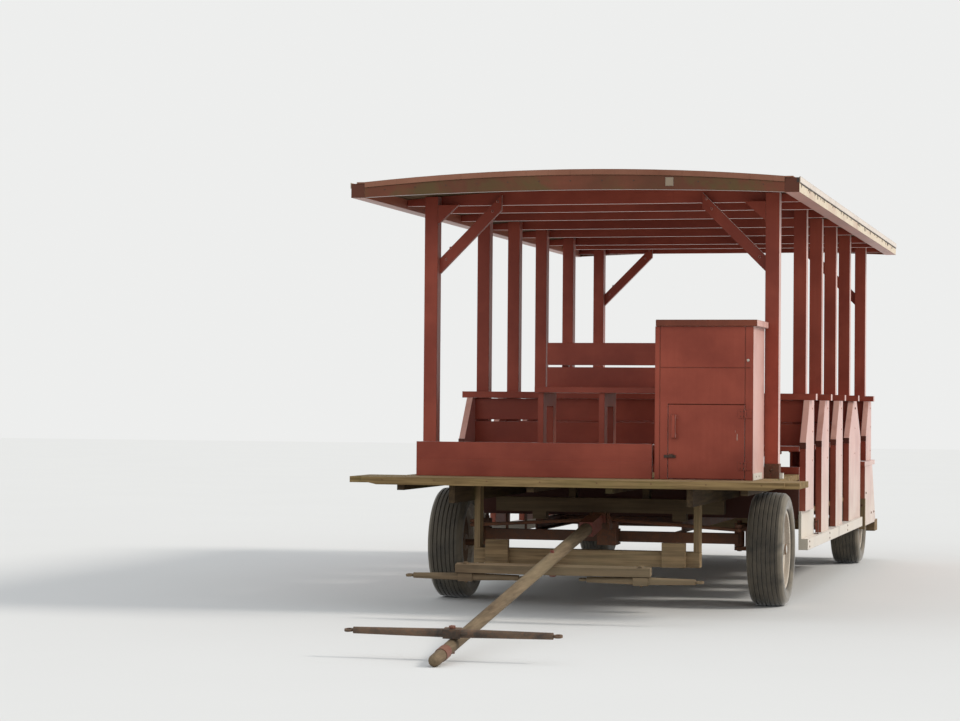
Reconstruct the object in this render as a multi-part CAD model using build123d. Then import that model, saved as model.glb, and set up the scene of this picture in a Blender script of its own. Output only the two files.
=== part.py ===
"""Carryall wagon: a roofed bench wagon with tyred wheels, steered front axle, pole and yoke.

Frame: +X to the right of someone who faces the wagon's front, +Y to the rear, +Z up. The
origin is on the ground, under the middle of the whole length. Everything is in millimetres.
Places along the wagon are stations, measured rearwards from the front posts' front faces.
"""
import os
from math import asin, cos, degrees, pi, sin, sqrt

from build123d import *

# Driving sizes: overall layout, as stations along the wagon
deck_front_s = -875.0            # front edge of the front deck
bulkhead_s = 1060.0              # wall where the deck steps down to the low floor
floor_rear_s = 5596.0            # rear end of the low floor
front_axle_s = 490.0
rear_axle_s = 5190.0
post_stations = (0.0, 1394.0, 2300.0, 3208.0, 4185.0, 5416.0)
roof_rear_s = 5597.0

# Driving sizes: heights of the main levels
axle_top_z = 470.0
deck_top_z = 850.0
floor_top_z = 600.0
sill_top_z = 412.0
seat_top_z = 1040.0
bearer_top_z = 1067.0            # top of the short bearers on the bench ends
panel_top_z = 1357.0
eave_z = 2613.0                  # underside of the eave beams
rafter_z = 2633.0                # straight underside of the rafters

# Driving sizes: widths either side of the middle
post_out_x = 1181.0
eave_out_x = 1420.0
deck_out_x = 1426.0
edge_board_x = 1339.0
rail_out_x = 500.0
king_x = 862.0
king_to_tyre = 92.0              # kingpin to the tyre's inner face

# Driving sizes: timber and plate sections
post_w = 89.0
board_t = 38.0
panel_t = 43.0
sheet_t = 19.0
gap = 0.3                        # assembly clearance between pieces of one body
running_gap = 0.05               # radial clearance of a turning pin

# Driving sizes: roof
eave_w = 89.0
eave_h = 89.0
roof_t = 35.0
roof_rise = 61.0
roof_edge_up = 9.0               # roof boards above the eave beams
roof_lap = 6.0                   # roof boards past the fascias
roof_corner_x = 1382.0
fascia_t = 38.0
fascia_z = 2615.0                # lower edge of the front and rear fascias at their ends
fascia_bow = 30.0                # rise of that edge in the middle
rafter_t = 38.0
brace_w = 100.0                  # upright height of the sloping braces
brace_foot_z = 2177.0
gusset_z = 2504.0
gusset_run = 140.0
brace_run = 420.0                # sideways run of a brace, at 45 degrees

# Driving sizes: wheels
tyre_r = 372.0
tyre_w = 236.0
tyre_shoulder = 26.0
tyre_bead_w = 176.0
tyre_sides = 24
hub_sides = 12
pin_sides = 12
side_rise = 70.0
shoulder_low = 16.0
rim_r = 205.0
rim_t = 9.0
rim_lip = 13.0
disc_t = 8.0
disc_out = 34.0                  # wheel disc, outwards from the tyre's middle plane
disc_dish = 46.0
disc_flat_r = 160.0
hub_r = 58.0
hub_in = 62.0                    # hub's inner end, inwards from the tyre's middle plane
hub_out = 66.0
hub_cap_r = 36.0
hub_cap_len = 36.0
hub_step = 6.0
spindle_r = 22.0
spindle_short = 4.0              # spindle end inside the hub's outer end
vent_count = 4
vent_r = 21.0
vent_ring_r = 128.0

# Driving sizes: steering
axle_h = 70.0
axle_w = 80.0
boss_r = 34.0
boss_h = 96.0
king_r = 16.0
king_head_z = 558.0
ear_t = 25.0
ear_gap = 3.0
web_t = 25.0
web_in = 44.0                    # knuckle web, outboard of the kingpin
tie_reach = 250.0                # tie pins ahead of the kingpins and of the tongue's pivot
tie_offset = 32.0                # tie pins outboard of the kingpins and of the tongue's pivot
tie_r = 12.0
tie_eye_r = 24.0
tie_eye_t = 20.0
tie_pin_r = 10.0
tie_inner_z = 557.0
tie_outer_z = 504.0
arm_top_z = 540.0
arm_w = 50.0
arm_t = 18.0

# Driving sizes: tongue base and pole
pivot_r = 20.0
plate_t = 12.0
plate_half_w = 60.0
neck_half_w = 64.0
neck_top_z = 540.0
neck_front = 180.0               # the neck runs from here to there, ahead of the pivot
neck_rear = 90.0
tongue_beam_h = 45.0
pole_hinge_ahead = 400.0
pole_hinge_z = 575.0
pole_len = 4050.0                # hinge to the centre of the rounded tip
pole_tip_r = 32.0
pole_root_r = 41.0
pole_sides = 16
hinge_eye_r = 34.0
hinge_pin_r = 14.0
hinge_cheek_t = 12.0
hinge_half = 52.0                # inner faces of the hinge cheeks
socket_len = 430.0
socket_w = 90.0
socket_h = 92.0
socket_wall = 6.0
socket_depth = 260.0
ferrule_len = 90.0
ferrule_t = 3.0
ferrule_at = 160.0               # back from the tip

# Driving sizes: evener, swingletrees and neck yoke
evener_at = 1400.0               # along the pole, from its hinge
evener_len = 1200.0
evener_w = 92.0
evener_end_w = 62.0
evener_t = 50.0
evener_bolt_r = 12.0
swingle_at = 540.0                  # swingletree bolt, sideways from the pole
swingle_len = 660.0
swingle_r = 24.0
swingle_end_r = 17.0
swingle_bolt_r = 9.0
eye_r = 13.0
eye_out_r = 24.0
eye_t = 12.0
eye_shank = 10.0
yoke_from_end = 350.0            # neck yoke's bolt, back from the pole's rounded end
yoke_len = 1060.0
yoke_r = 24.0
yoke_end_r = 18.0
yoke_bolt_r = 10.0
stack_gap = 5.0                  # free height between the swinging bars

# Driving sizes: deck
plank_w = 142.0
plank_gap = 5.0
wide_planks = 3                  # planks that reach the full width, at the front
deck_t = 38.0
edge_board_h = 48.0
edge_board_t = 38.0
edge_bevel_h = 22.0
edge_bevel_w = 100.0
beam_x = 735.0                   # inner faces of the two deep deck beams
beam_w = 38.0
beam_h = 120.0
stringer_x = (250.0, 1090.0)     # middles of the shallow stringers
stringer_w = 45.0
stringer_h = 45.0
trestle_s = 380.0
trestle_w = 89.0
trestle_h = 95.0
trestle_foot_w = 90.0
step_s = -350.0
step_w = 95.0
step_z = 290.0
step_h = 98.0
hanger_w = 38.0
hanger_d = 89.0
step_block_x = 500.0
step_block_w = 150.0
step_block_h = 155.0
step_block_t = 40.0

# Driving sizes: frame, low floor and its edges
rail_w = 50.0
rail_h = 76.0
rail_web = 8.0
cross_stations = (1150.0, 2400.0, 3700.0, 4900.0, 5500.0)
cross_w = 60.0
joist_w = 60.0
joist_h = 22.0
joist_stations = (1110.0, 1700.0, 2300.0, 2900.0, 3500.0, 4100.0, 4700.0)
floor_t = 32.0
floor_plank_w = 139.0
bulkhead_t = 30.0
bulkhead_top_z = 900.0
sill_w = 64.0
sill_h = 75.0
sill_front_s = 1045.0
sill_rear_s = 4640.0
sill_joint_s = 2900.0
skirt_rear_s = 1740.0
strap_w = 50.0
strap_t = 8.0
wheel_box_clear = 34.0
guard_x = 1200.0                 # inner faces of the rear wheel guards
guard_t = 50.0
skirt_t = 19.0
guard_z = 330.0
guard_top_rear_s = 5380.0
guard_low_rear_s = 5690.0
guard_top_z = 860.0
guard_block_z = 303.0
guard_block_h = 252.0
rear_step_s = 5610.0
rear_step_d = 236.0
rear_step_z = 250.0
rear_step_h = 95.0
rear_step_x = 1250.0
rear_arm_t = 38.0

# Driving sizes: benches
panel_ahead = 315.0              # bench end ahead of its post
panel_behind = 135.0             # and behind the post's front face
panel_top_ahead = 104.0
double_half = 430.0              # half depth of the double bench's end
double_top_half = 120.0
cap_proud = 6.0
bearer_h = 43.0
seat_plank_w = 146.0
seat_gap = 8.0
seat_out_x = 1181.0
seat_plank_t = 34.0
seat_bar_h = 60.0
seat_leg_d = 60.0
seat_leg_in = 70.0
seat_leg_xs = (-760.0, 0.0, 760.0)
back_board_t = 34.0
back_top_drop = 4.0
rear_panel_behind = 120.0
double_bench = 4                 # number of the post that has benches back to back
seat_leg_w = 36.0
back_board_h = 150.0
back_gap = 14.0
back_rail_w = 89.0
back_rail_h = 45.0
back_rail_x = 1263.0

# Driving sizes: front bench, toe board and cupboard
front_seat_z = 1430.0
front_seat_s = 110.0
front_seat_d = 400.0
front_seat_end_x = 450.0
front_seat_back_z = 1730.0
front_upright_x = 330.0
toe_s = -470.0
toe_top_z = 1070.0
toe_seam_z = 957.0
toe_t = 20.0
box_left_x = 470.0
box_front_s = -495.0
box_back_s = -13.0
box_top_z = 1811.0
lid_t = 41.0
lid_over = 20.0
box_strip_w = 32.0
box_groove = 4.0
box_seam_z = 1552.0
door_left_x = 553.0
door_right_x = 1042.0
door_top_z = 1324.0
door_gap = 4.0
handle_x = 595.0
handle_z = 1111.0
handle_h = 145.0
handle_w = 38.0
handle_d = 42.0
latch_x = 532.0
latch_z = 982.0
latch_w = 64.0
latch_h = 34.0
hinge_zs = (912.0, 1237.0)
hinge_h = 54.0
hinge_leaf_w = 46.0
hinge_leaf_t = 3.0
hinge_barrel_r = 6.0
hinge_pin = 3.0
door_open_deg = 110.0
door_sill = 3.0                  # above the cupboard floor edge
hinge_fixed_w = 44.0

# Driving sizes: post shoes
shoe_h = 95.0
shoe_t = 6.0
shoe_hole_r = 5.5

# Places worked out from the driving sizes
yoke_at = pole_len - yoke_from_end
pole_rest = asin((pole_hinge_z - pole_tip_r) / pole_len)
pole_rest_deg = degrees(pole_rest)
hinge_s = front_axle_s - pole_hinge_ahead
front_reach_s = hinge_s - pole_len * cos(pole_rest) - pole_tip_r
rear_reach_s = rear_step_s + rear_step_d
first_post_y = -(front_reach_s + rear_reach_s) / 2

hub_z = tyre_r
wheel_mid_x = king_x + king_to_tyre + tyre_w / 2
post_in_x = post_out_x - post_w
panel_out_x = post_out_x + panel_t
rail_top_z = axle_top_z + rail_h
floor_low_z = floor_top_z - floor_t
deck_low_z = deck_top_z - deck_t
bearer_low_z = bearer_top_z - bearer_h
back_rail_top_z = panel_top_z + back_rail_h
roof_half = eave_out_x - eave_w - gap
roof_edge_z = eave_z + eave_h + roof_edge_up
roof_crown_z = roof_edge_z + roof_rise
roof_radius = (roof_half**2 + roof_rise**2) / (2 * roof_rise)
box_right_x = post_in_x - 1.0
wheel_box_in_x = wheel_mid_x - tyre_w / 2 - wheel_box_clear
wheel_box_front_s = rear_axle_s - tyre_r - wheel_box_clear - sheet_t
wheel_box_rear_s = rear_axle_s + tyre_r + wheel_box_clear
rafter_stations = (
    post_stations[0] + post_w + gap,
    (post_stations[0] + post_w + post_stations[1]) / 2,
    *(station + post_w + gap for station in post_stations[1:5]),
    (post_stations[4] + post_w + post_stations[5]) / 2,
    post_stations[5] + post_w + gap,
)


# Small helpers for shapes
def y_at(station):
    """Y of a station along the wagon."""
    return first_post_y + station


def block(x0, x1, s0, s1, z0, z1):
    """Box between two X values, two stations and two heights."""
    middle = Pos((x0 + x1) / 2, y_at((s0 + s1) / 2), (z0 + z1) / 2)
    return middle * Box(x1 - x0, s1 - s0, z1 - z0)


def slab_x(points, x0, x1):
    """Outline of (station, height) points, extruded from one X to another."""
    plane = Plane(origin=(x0, 0, 0), x_dir=(0, 1, 0), z_dir=(1, 0, 0))
    outline = Polyline(*[(y_at(s), z) for s, z in points], close=True)
    return extrude(plane * make_face(outline), amount=x1 - x0, dir=(1, 0, 0))


def slab_y(points, s0, s1):
    """Outline of (x, height) points, extruded from one station to another."""
    plane = Plane(origin=(0, y_at(s0), 0), x_dir=(1, 0, 0), z_dir=(0, -1, 0))
    outline = Polyline(*points, close=True)
    return extrude(plane * make_face(outline), amount=s1 - s0, dir=(0, 1, 0))


def slab_z(points, z0, z1):
    """Outline of (x, station) points, extruded from one height to another."""
    outline = Polyline(*[(x, y_at(s)) for x, s in points], close=True)
    return extrude(Pos(0, 0, z0) * make_face(outline), amount=z1 - z0, dir=(0, 0, 1))


def bow_y(low_end_z, low_bow, top_end_z, top_bow, half, s0, s1):
    """Board across the wagon with bowed lower and upper edges."""
    plane = Plane(origin=(0, y_at(s0), 0), x_dir=(1, 0, 0), z_dir=(0, -1, 0))
    if low_bow > 0:
        low = ThreePointArc((half, low_end_z), (0, low_end_z + low_bow), (-half, low_end_z))
    else:
        low = Line((half, low_end_z), (-half, low_end_z))
    top = ThreePointArc((-half, top_end_z), (0, top_end_z + top_bow), (half, top_end_z))
    left = Line((-half, low_end_z), (-half, top_end_z))
    right = Line((half, top_end_z), (half, low_end_z))
    return extrude(plane * make_face([low, left, top, right]), amount=s1 - s0, dir=(0, 1, 0))


def rod_x(radius, x0, x1, station, z):
    """Round bar along X."""
    turned = Pos((x0 + x1) / 2, y_at(station), z) * Rot(0, 90, 0)
    return turned * Cylinder(radius, x1 - x0)


def rod_z(radius, x, station, z0, z1):
    """Round upright bar."""
    return Pos(x, y_at(station), (z0 + z1) / 2) * Cylinder(radius, z1 - z0)


def prism_z(radius, x, station, z0, z1, sides=12):
    """Upright bar with many flat sides."""
    outline = Pos(x, y_at(station), z0) * RegularPolygon(radius, sides)
    return extrude(outline, amount=z1 - z0, dir=(0, 0, 1))


def prism_x(radius, x0, x1, station, z, sides=12):
    """Bar along X with many flat sides."""
    plane = Plane(origin=(x0, y_at(station), z), x_dir=(0, 1, 0), z_dir=(1, 0, 0))
    return extrude(plane * RegularPolygon(radius, sides), amount=x1 - x0, dir=(1, 0, 0))


def upright_pin(radius, x, station, z0, z1):
    """Upright pin, its edges on the circle of its radius."""
    return prism_z(radius, x, station, z0, z1, pin_sides)


def level_pin(radius, x0, x1, station, z):
    """Pin along X, its edges on the circle of its radius."""
    return prism_x(radius, x0, x1, station, z, pin_sides)


def faceted(points, sides):
    """Ring or bar about the X axis with flat facets, from an outline of (x, radius) points."""
    turns = [(cos(2 * pi * k / sides), sin(2 * pi * k / sides)) for k in range(sides)]
    faces = []
    for (x0, r0), (x1, r1) in zip(points, points[1:] + points[:1]):
        if max(r0, r1) < 1e-6:
            continue
        for number, (near_y, near_z) in enumerate(turns):
            far_y, far_z = turns[(number + 1) % sides]
            corners = [(x0, r0 * near_y, r0 * near_z), (x1, r1 * near_y, r1 * near_z)]
            if r1 > 1e-6:
                corners.append((x1, r1 * far_y, r1 * far_z))
            if r0 > 1e-6:
                corners.append((x0, r0 * far_y, r0 * far_z))
            faces.append(Face(Wire.make_polygon([Vector(*corner) for corner in corners], close=True)))
    return Solid(Shell(faces))


def other_side(shape):
    """The same piece on the other side of the wagon."""
    return mirror(shape, about=Plane.YZ)


def pair(shape):
    """A piece and its mirror image."""
    return [shape, other_side(shape)]


def roof_under_z(x):
    """Height of the roof boards' underside at a distance from the middle."""
    fall = roof_radius - sqrt(roof_radius**2 - x**2)
    return roof_crown_z - roof_t - fall


# Steel frame, axles and the low structure
def frame_rails():
    """Ladder frame of two channels and their cross members, as one welding."""
    inner_x = rail_out_x - rail_web
    web_in_x = rail_out_x - rail_w
    low, top = axle_top_z, rail_top_z
    channel = [
        (web_in_x, low), (rail_out_x, low), (rail_out_x, top), (web_in_x, top),
        (web_in_x, top - rail_web), (inner_x, top - rail_web),
        (inner_x, low + rail_web), (web_in_x, low + rail_web),
    ]
    right = slab_y(channel, trestle_s, floor_rear_s)
    frame = right + other_side(right)
    for station in cross_stations:
        frame += block(-inner_x, inner_x, station, station + cross_w, low + rail_web, top - rail_web)
    return frame


def floor_joists():
    """Flat cross pieces between the rails and the floor."""
    wide_x = post_out_x - strap_t - gap
    joists = []
    for station in joist_stations:
        joists.append(block(-wide_x, wide_x, station, station + joist_w, rail_top_z, floor_low_z))
    narrow_x = wheel_box_in_x - sheet_t - gap
    for station in (rear_axle_s, floor_rear_s - joist_w):
        joists.append(block(-narrow_x, narrow_x, station, station + joist_w, rail_top_z, floor_low_z))
    return joists


def floor_planks():
    """Lengthwise planks of the low floor, cut away at the rear wheels."""
    count = round(2 * post_out_x / floor_plank_w)
    width = (2 * post_out_x - (count - 1) * plank_gap) / count
    well_x = wheel_box_in_x - sheet_t - gap
    well_s = wheel_box_front_s - gap
    planks = []
    for number in range(count):
        x0 = -post_out_x + number * (width + plank_gap)
        plank = block(x0, x0 + width, bulkhead_s + bulkhead_t + gap, floor_rear_s, floor_low_z, floor_top_z)
        for side in (-1, 1):
            near, far = sorted((side * well_x, side * (post_out_x + 1)))
            plank -= block(near, far, well_s, floor_rear_s + 1, floor_low_z - 1, floor_top_z + 1)
        planks += plank.solids()
    return planks


def bulkhead():
    """Upright wall where the high deck meets the low floor."""
    return block(-post_out_x, post_out_x, bulkhead_s, bulkhead_s + bulkhead_t, rail_top_z, bulkhead_top_z)


def wheel_boxes():
    """Boxes over the rear wheels, which carry the last posts and bench ends."""
    out_x = guard_x + guard_t
    in_x = wheel_box_in_x - sheet_t
    front, rear = wheel_box_front_s, wheel_box_rear_s
    lid_low = guard_top_z - board_t
    top = block(in_x, out_x, front, rear, lid_low, guard_top_z)
    inner = block(in_x, wheel_box_in_x, front, rear, floor_low_z, lid_low)
    nose = block(in_x, post_out_x - 2, front, front + sheet_t, floor_low_z, lid_low)
    return pair(top + inner + nose)


def wheel_guards():
    """Thick boards outside the rear wheels, with raked rear ends."""
    front = wheel_box_front_s + sheet_t
    top_z = guard_top_z - board_t - gap
    notch_s = front + guard_t + gap
    notch_z = guard_block_z + guard_block_h + gap
    step_top = rear_step_z + rear_step_h + gap
    rake = (guard_low_rear_s - guard_top_rear_s) / (top_z - guard_z)
    outline = [
        (front, notch_z), (notch_s, notch_z), (notch_s, guard_z), (rear_step_s - gap, guard_z),
        (rear_step_s - gap, step_top), (guard_low_rear_s - rake * (step_top - guard_z), step_top),
        (guard_top_rear_s, top_z), (front, top_z),
    ]
    board = slab_x(outline, guard_x, guard_x + guard_t)
    block_top = guard_block_z + guard_block_h
    end_block = block(guard_x, guard_x + guard_t, front, front + guard_t, guard_block_z, block_top)
    return pair(board), pair(end_block)


def side_sills():
    """Outer step boards along the low floor, in two lengths a side."""
    inner = post_out_x + gap
    low = sill_top_z - sill_h
    lengths = ((sill_front_s, sill_joint_s - gap), (sill_joint_s + gap, sill_rear_s))
    boards = [block(inner, inner + sill_w, s0, s1, low, sill_top_z) for s0, s1 in lengths]
    return [side for board in boards for side in pair(board)]


def sill_straps():
    """Upright flat irons that hang the step boards from the joists."""
    straps = []
    outer = post_out_x
    for station in joist_stations[:-1]:
        s0 = station + (joist_w - strap_w) / 2
        low = sill_top_z - sill_h
        straps += pair(block(outer - strap_t, outer, s0, s0 + strap_w, low, floor_low_z - gap))
    return straps


def front_skirts():
    """Thin boards between the first bench ends and the step boards."""
    x = post_out_x + gap
    return pair(block(x, x + skirt_t, sill_front_s, skirt_rear_s, sill_top_z, floor_top_z - gap))


def rear_step():
    """Step board across the rear and the arms that carry it."""
    top_z = rear_step_z + rear_step_h
    rear_s = rear_step_s + rear_step_d
    board = block(-rear_step_x, rear_step_x, rear_step_s, rear_s, rear_step_z, top_z)
    arm_outline = [
        (cross_stations[-1] - 60, axle_top_z), (cross_stations[-1] - 60, rail_top_z - gap),
        (floor_rear_s - 10, rail_top_z - gap), (rear_s - 20, top_z + 60), (rear_s - 20, top_z + gap),
        (rear_step_s + 10, top_z + gap),
    ]
    arm = slab_x(arm_outline, rail_out_x + gap, rail_out_x + gap + rear_arm_t)
    return board, pair(arm)


# High deck over the front axle
def deck_planks():
    """Crosswise deck planks behind the bevelled front edge board."""
    low = deck_top_z - edge_board_h
    x, slope_x, slope_z = edge_board_x, edge_board_x - edge_bevel_w, low + edge_bevel_h
    edge = [(-x, slope_z), (-slope_x, low), (slope_x, low), (x, slope_z), (x, deck_top_z), (-x, deck_top_z)]
    planks = [slab_y(edge, deck_front_s, deck_front_s + edge_board_t)]
    start = deck_front_s + edge_board_t + gap
    room = bulkhead_s - gap - start
    count = round(room / (plank_w + plank_gap))
    width = (room - (count - 1) * plank_gap) / count
    for number in range(count):
        s0 = start + number * (width + plank_gap)
        half = deck_out_x if number < wide_planks else post_out_x
        planks.append(block(-half, half, s0, s0 + width, deck_low_z, deck_top_z))
    return planks


def deck_beams():
    """Two deep lengthwise beams under the deck."""
    front = deck_front_s + edge_board_t + gap
    low = deck_low_z - beam_h
    return pair(block(beam_x, beam_x + beam_w, front, bulkhead_s - gap, low, deck_low_z - gap))


def deck_stringers():
    """Shallow stringers between the deep beams and outside them."""
    front = deck_front_s + edge_board_t + gap
    low = deck_low_z - stringer_h
    pieces = []
    for middle in stringer_x:
        x0, x1 = middle - stringer_w / 2, middle + stringer_w / 2
        pieces += pair(block(x0, x1, front, bulkhead_s - gap, low, deck_low_z - gap))
    x0, x1 = stringer_x[0] - stringer_w / 2, stringer_x[0] + stringer_w / 2
    trestle_rear = trestle_s + trestle_w
    pieces += pair(block(x0, x1, trestle_s, trestle_rear, deck_low_z - beam_h + gap, low - gap))
    return pieces


def trestle():
    """Cross beam and feet that carry the deck on the frame rails."""
    top = deck_low_z - beam_h - gap
    low = top - trestle_h
    outer = beam_x + beam_w
    beam = block(-outer, outer, trestle_s, trestle_s + trestle_w, low, top)
    foot_mid = rail_out_x - rail_w / 2
    x0, x1 = foot_mid - trestle_foot_w / 2, foot_mid + trestle_foot_w / 2
    feet = pair(block(x0, x1, trestle_s, trestle_s + trestle_w, rail_top_z + gap, low))
    return beam + feet[0] + feet[1]


def hanging_step():
    """Step beam below the deck, its two end blocks and its hangers."""
    outer = beam_x
    front, rear = step_s, step_s + step_w
    beam = block(-outer, outer, front, rear, step_z, step_z + step_h)
    x0, x1 = step_block_x, step_block_x + step_block_w
    top = step_z + step_block_h
    blocks = pair(block(x0, x1, front - step_block_t - gap, front - gap, step_z, top))
    foot = front + (step_w - hanger_d) / 2
    hanger_top = deck_low_z - gap
    hangers = pair(block(
        beam_x - hanger_w - gap, beam_x - gap, foot, foot + hanger_d, step_z + step_h + gap, hanger_top
    ))
    return beam, blocks, hangers


# Posts, roof frame and roof
def post_foot_z(number):
    """Height at which a post stands."""
    if number == 0:
        return deck_top_z
    if number == len(post_stations) - 1:
        return guard_top_z
    return floor_top_z


def posts():
    """The right-hand row of posts, cut at the top to the roof's curve."""
    row = []
    top = roof_under_z(post_out_x) - 1.0
    for number, station in enumerate(post_stations):
        foot = post_foot_z(number) + gap
        row.append(block(post_in_x, post_out_x, station, station + post_w, foot, top))
    return row


def post_shoes():
    """Angle plates at the feet of the front posts."""
    s = post_stations[0]
    low = deck_top_z + gap
    front = block(post_in_x, post_out_x + shoe_t + gap, s - shoe_t - gap, s - gap, low, low + shoe_h)
    side = block(post_out_x + gap, post_out_x + gap + shoe_t, s - gap - 1, s + post_w, low, low + shoe_h)
    shoe = front + side
    for z in (low + 28, low + 68):
        spot = Pos((post_in_x + post_out_x) / 2, y_at(s), z) * Rot(90, 0, 0) * RegularPolygon(shoe_hole_r, 8)
        shoe -= extrude(spot, amount=2 * post_w, both=True)
    return pair(shoe)


def rafters():
    """Rafters lapped on the posts, with straight bottoms and arched tops."""
    half = eave_out_x - eave_w - gap
    edge_top = roof_under_z(half) - gap
    crown_top = roof_under_z(0) - gap
    pieces = []
    for station in rafter_stations:
        pieces.append(bow_y(rafter_z, 0, edge_top, crown_top - edge_top, half, station, station + rafter_t))
    return pieces


def eave_beams():
    """Long beams along both eaves."""
    inner = eave_out_x - eave_w
    return pair(block(inner, eave_out_x, deck_front_s, roof_rear_s, eave_z, eave_z + eave_h))


def roof_fascias():
    """Bowed boards between the eave beams, front and rear."""
    half = eave_out_x - eave_w - gap
    edge_top = roof_under_z(half) - gap
    rise = roof_under_z(0) - gap - edge_top
    pieces = []
    for s0 in (deck_front_s, roof_rear_s - fascia_t):
        pieces.append(bow_y(fascia_z, fascia_bow, edge_top, rise, half, s0, s0 + fascia_t))
    return pieces


def roof_deck():
    """Arched roof boarding, lapped over the eave beams."""
    half = roof_half
    under_edge, over_edge = roof_edge_z - roof_t, roof_edge_z
    s0, s1 = deck_front_s - roof_lap, roof_rear_s + roof_lap
    shell = bow_y(under_edge, roof_rise, over_edge, roof_rise, half, s0, s1)
    lip_x = roof_corner_x
    lip = block(half - 1, lip_x, s0, s1, eave_z + eave_h + gap, roof_edge_z)
    return shell + lip + other_side(lip)


def knee_braces():
    """Sloping braces from the end posts up to the roof, and the front gussets."""
    foot_x = post_in_x - gap
    pieces = []
    ends = ((post_stations[0], rafter_stations[0]), (post_stations[-1], rafter_stations[-1]))
    for station, behind in ends:
        s1 = behind - gap
        s0 = s1 - rafter_t
        top_x = foot_x - brace_run
        low_top = brace_foot_z + brace_run
        outline = [
            (foot_x, brace_foot_z), (foot_x, brace_foot_z + brace_w),
            (top_x, low_top + brace_w), (top_x, low_top),
        ]
        pieces += pair(slab_y(outline, s0, s1))
    s0 = post_stations[0] + gap
    top_z = rafter_z - gap
    corner = [(foot_x, gusset_z), (foot_x, top_z), (foot_x - gusset_run, top_z)]
    pieces += pair(slab_y(corner, s0, s0 + rafter_t))
    return pieces


# Benches
def bench_end(station, foot_z, double, behind):
    """Right-hand end panel of a bench, with its short bearer and upper panel."""
    x0, x1 = post_out_x + gap, panel_out_x
    if double:
        middle = station + post_w / 2
        s0, s1 = middle - double_half, middle + double_half
        t0, t1 = middle - double_top_half, middle + double_top_half
        slopes = ((s0, t0), (t1, s1))
    else:
        s0, s1 = station - panel_ahead, station + behind
        slopes = ((s0, station - panel_top_ahead), (s1, s1))
    lower = block(x0, x1, s0, s1, foot_z + gap, bearer_low_z - gap)
    b0 = s0 - cap_proud
    b1 = s1 + (cap_proud if double else 0)
    bearer = block(x0, x1, b0, b1, bearer_low_z, bearer_top_z)
    low = bearer_top_z + gap
    upper = slab_x([(slopes[0][0], low), (slopes[1][1], low), (slopes[1][0], panel_top_z - gap),
                    (slopes[0][1], panel_top_z - gap)], x0, x1)
    return [lower, bearer, upper]


def bench_seat(front_s, foot_z, legs):
    """Two seat planks on a slatted support with short legs."""
    depth = 2 * seat_plank_w + seat_gap
    low = seat_top_z - seat_plank_t
    pieces = []
    for number in range(2):
        s0 = front_s + number * (seat_plank_w + seat_gap)
        pieces.append(block(-seat_out_x, seat_out_x, s0, s0 + seat_plank_w, low, seat_top_z))
    under = low - gap
    bar_low = under - seat_bar_h
    for x in legs:
        x0, x1 = x - seat_leg_w / 2, x + seat_leg_w / 2
        bar = block(x0, x1, front_s + 10, front_s + depth, bar_low, under)
        leg_s = front_s + seat_leg_in
        leg = block(x0, x1, leg_s, leg_s + seat_leg_d, foot_z + gap, bar_low + 1)
        pieces.append(bar + leg)
    return pieces


def back_boards(face_s, half):
    """Two back boards, one above the other, on a face of the posts."""
    boards = []
    top = panel_top_z - back_top_drop
    for number in range(2):
        z1 = top - number * (back_board_h + back_gap)
        boards.append(block(-half, half, face_s, face_s + back_board_t, z1 - back_board_h, z1))
    return boards


def bench(number):
    """One bench: ends, seat, back boards and the back rail on the posts."""
    station = post_stations[number]
    last = number == len(post_stations) - 1
    double = number == double_bench
    foot_z = {1: floor_top_z, len(post_stations) - 1: guard_top_z}.get(number, sill_top_z)
    behind = rear_panel_behind if last else panel_behind
    solids = []
    for piece in bench_end(station, foot_z, double, behind):
        solids += pair(piece)
    leg_foot = floor_top_z
    seat_depth = 2 * seat_plank_w + seat_gap
    front_face = station - gap - back_board_t
    seat_front = front_face - gap - seat_depth
    solids += bench_seat(seat_front, leg_foot, seat_leg_xs)
    solids += back_boards(front_face, seat_out_x)
    rail_s0 = station
    if double:
        rear_face = station + post_w + gap
        solids += bench_seat(rear_face + back_board_t + gap, leg_foot, seat_leg_xs)
        solids += back_boards(rear_face, seat_out_x)
    rail_s1 = rail_s0 - gap
    rail = block(-back_rail_x, back_rail_x, rail_s1 - back_rail_w, rail_s1, panel_top_z, back_rail_top_z)
    solids.append(rail)
    return solids


def front_bench():
    """High bench between the front posts, with end frames, seat and backrest."""
    low = front_seat_z - board_t
    s0, s1 = front_seat_s, front_seat_s + front_seat_d
    half_depth = (front_seat_d - seat_gap) / 2
    solids = []
    for number in range(2):
        p0 = s0 + number * (half_depth + seat_gap)
        solids.append(block(-front_seat_end_x, front_seat_end_x, p0, p0 + half_depth, low, front_seat_z))
    frame_w = board_t
    for x in (0.0, front_seat_end_x - frame_w):
        end = block(x - frame_w / 2, x + frame_w / 2, s0 + 20, s0 + 20 + post_w, deck_top_z + gap, low - gap)
        end += block(x - frame_w / 2, x + frame_w / 2, s1 - post_w, s1, deck_top_z + gap, low - gap)
        end += block(x - frame_w / 2, x + frame_w / 2, s0 + 20, s1, low - gap - post_w, low - gap)
        solids += pair(end) if x > 0 else [end]
    upright_s = s1 + gap
    x = front_upright_x
    up = block(x - frame_w / 2, x + frame_w / 2, upright_s, upright_s + board_t, low, front_seat_back_z)
    solids += pair(up)
    back_s = upright_s - gap - back_board_t
    for number in range(2):
        z1 = front_seat_back_z - number * (back_board_h + back_gap)
        half = front_seat_end_x
        solids.append(block(-half, half, back_s, back_s + back_board_t, z1 - back_board_h, z1))
    return solids


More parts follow.
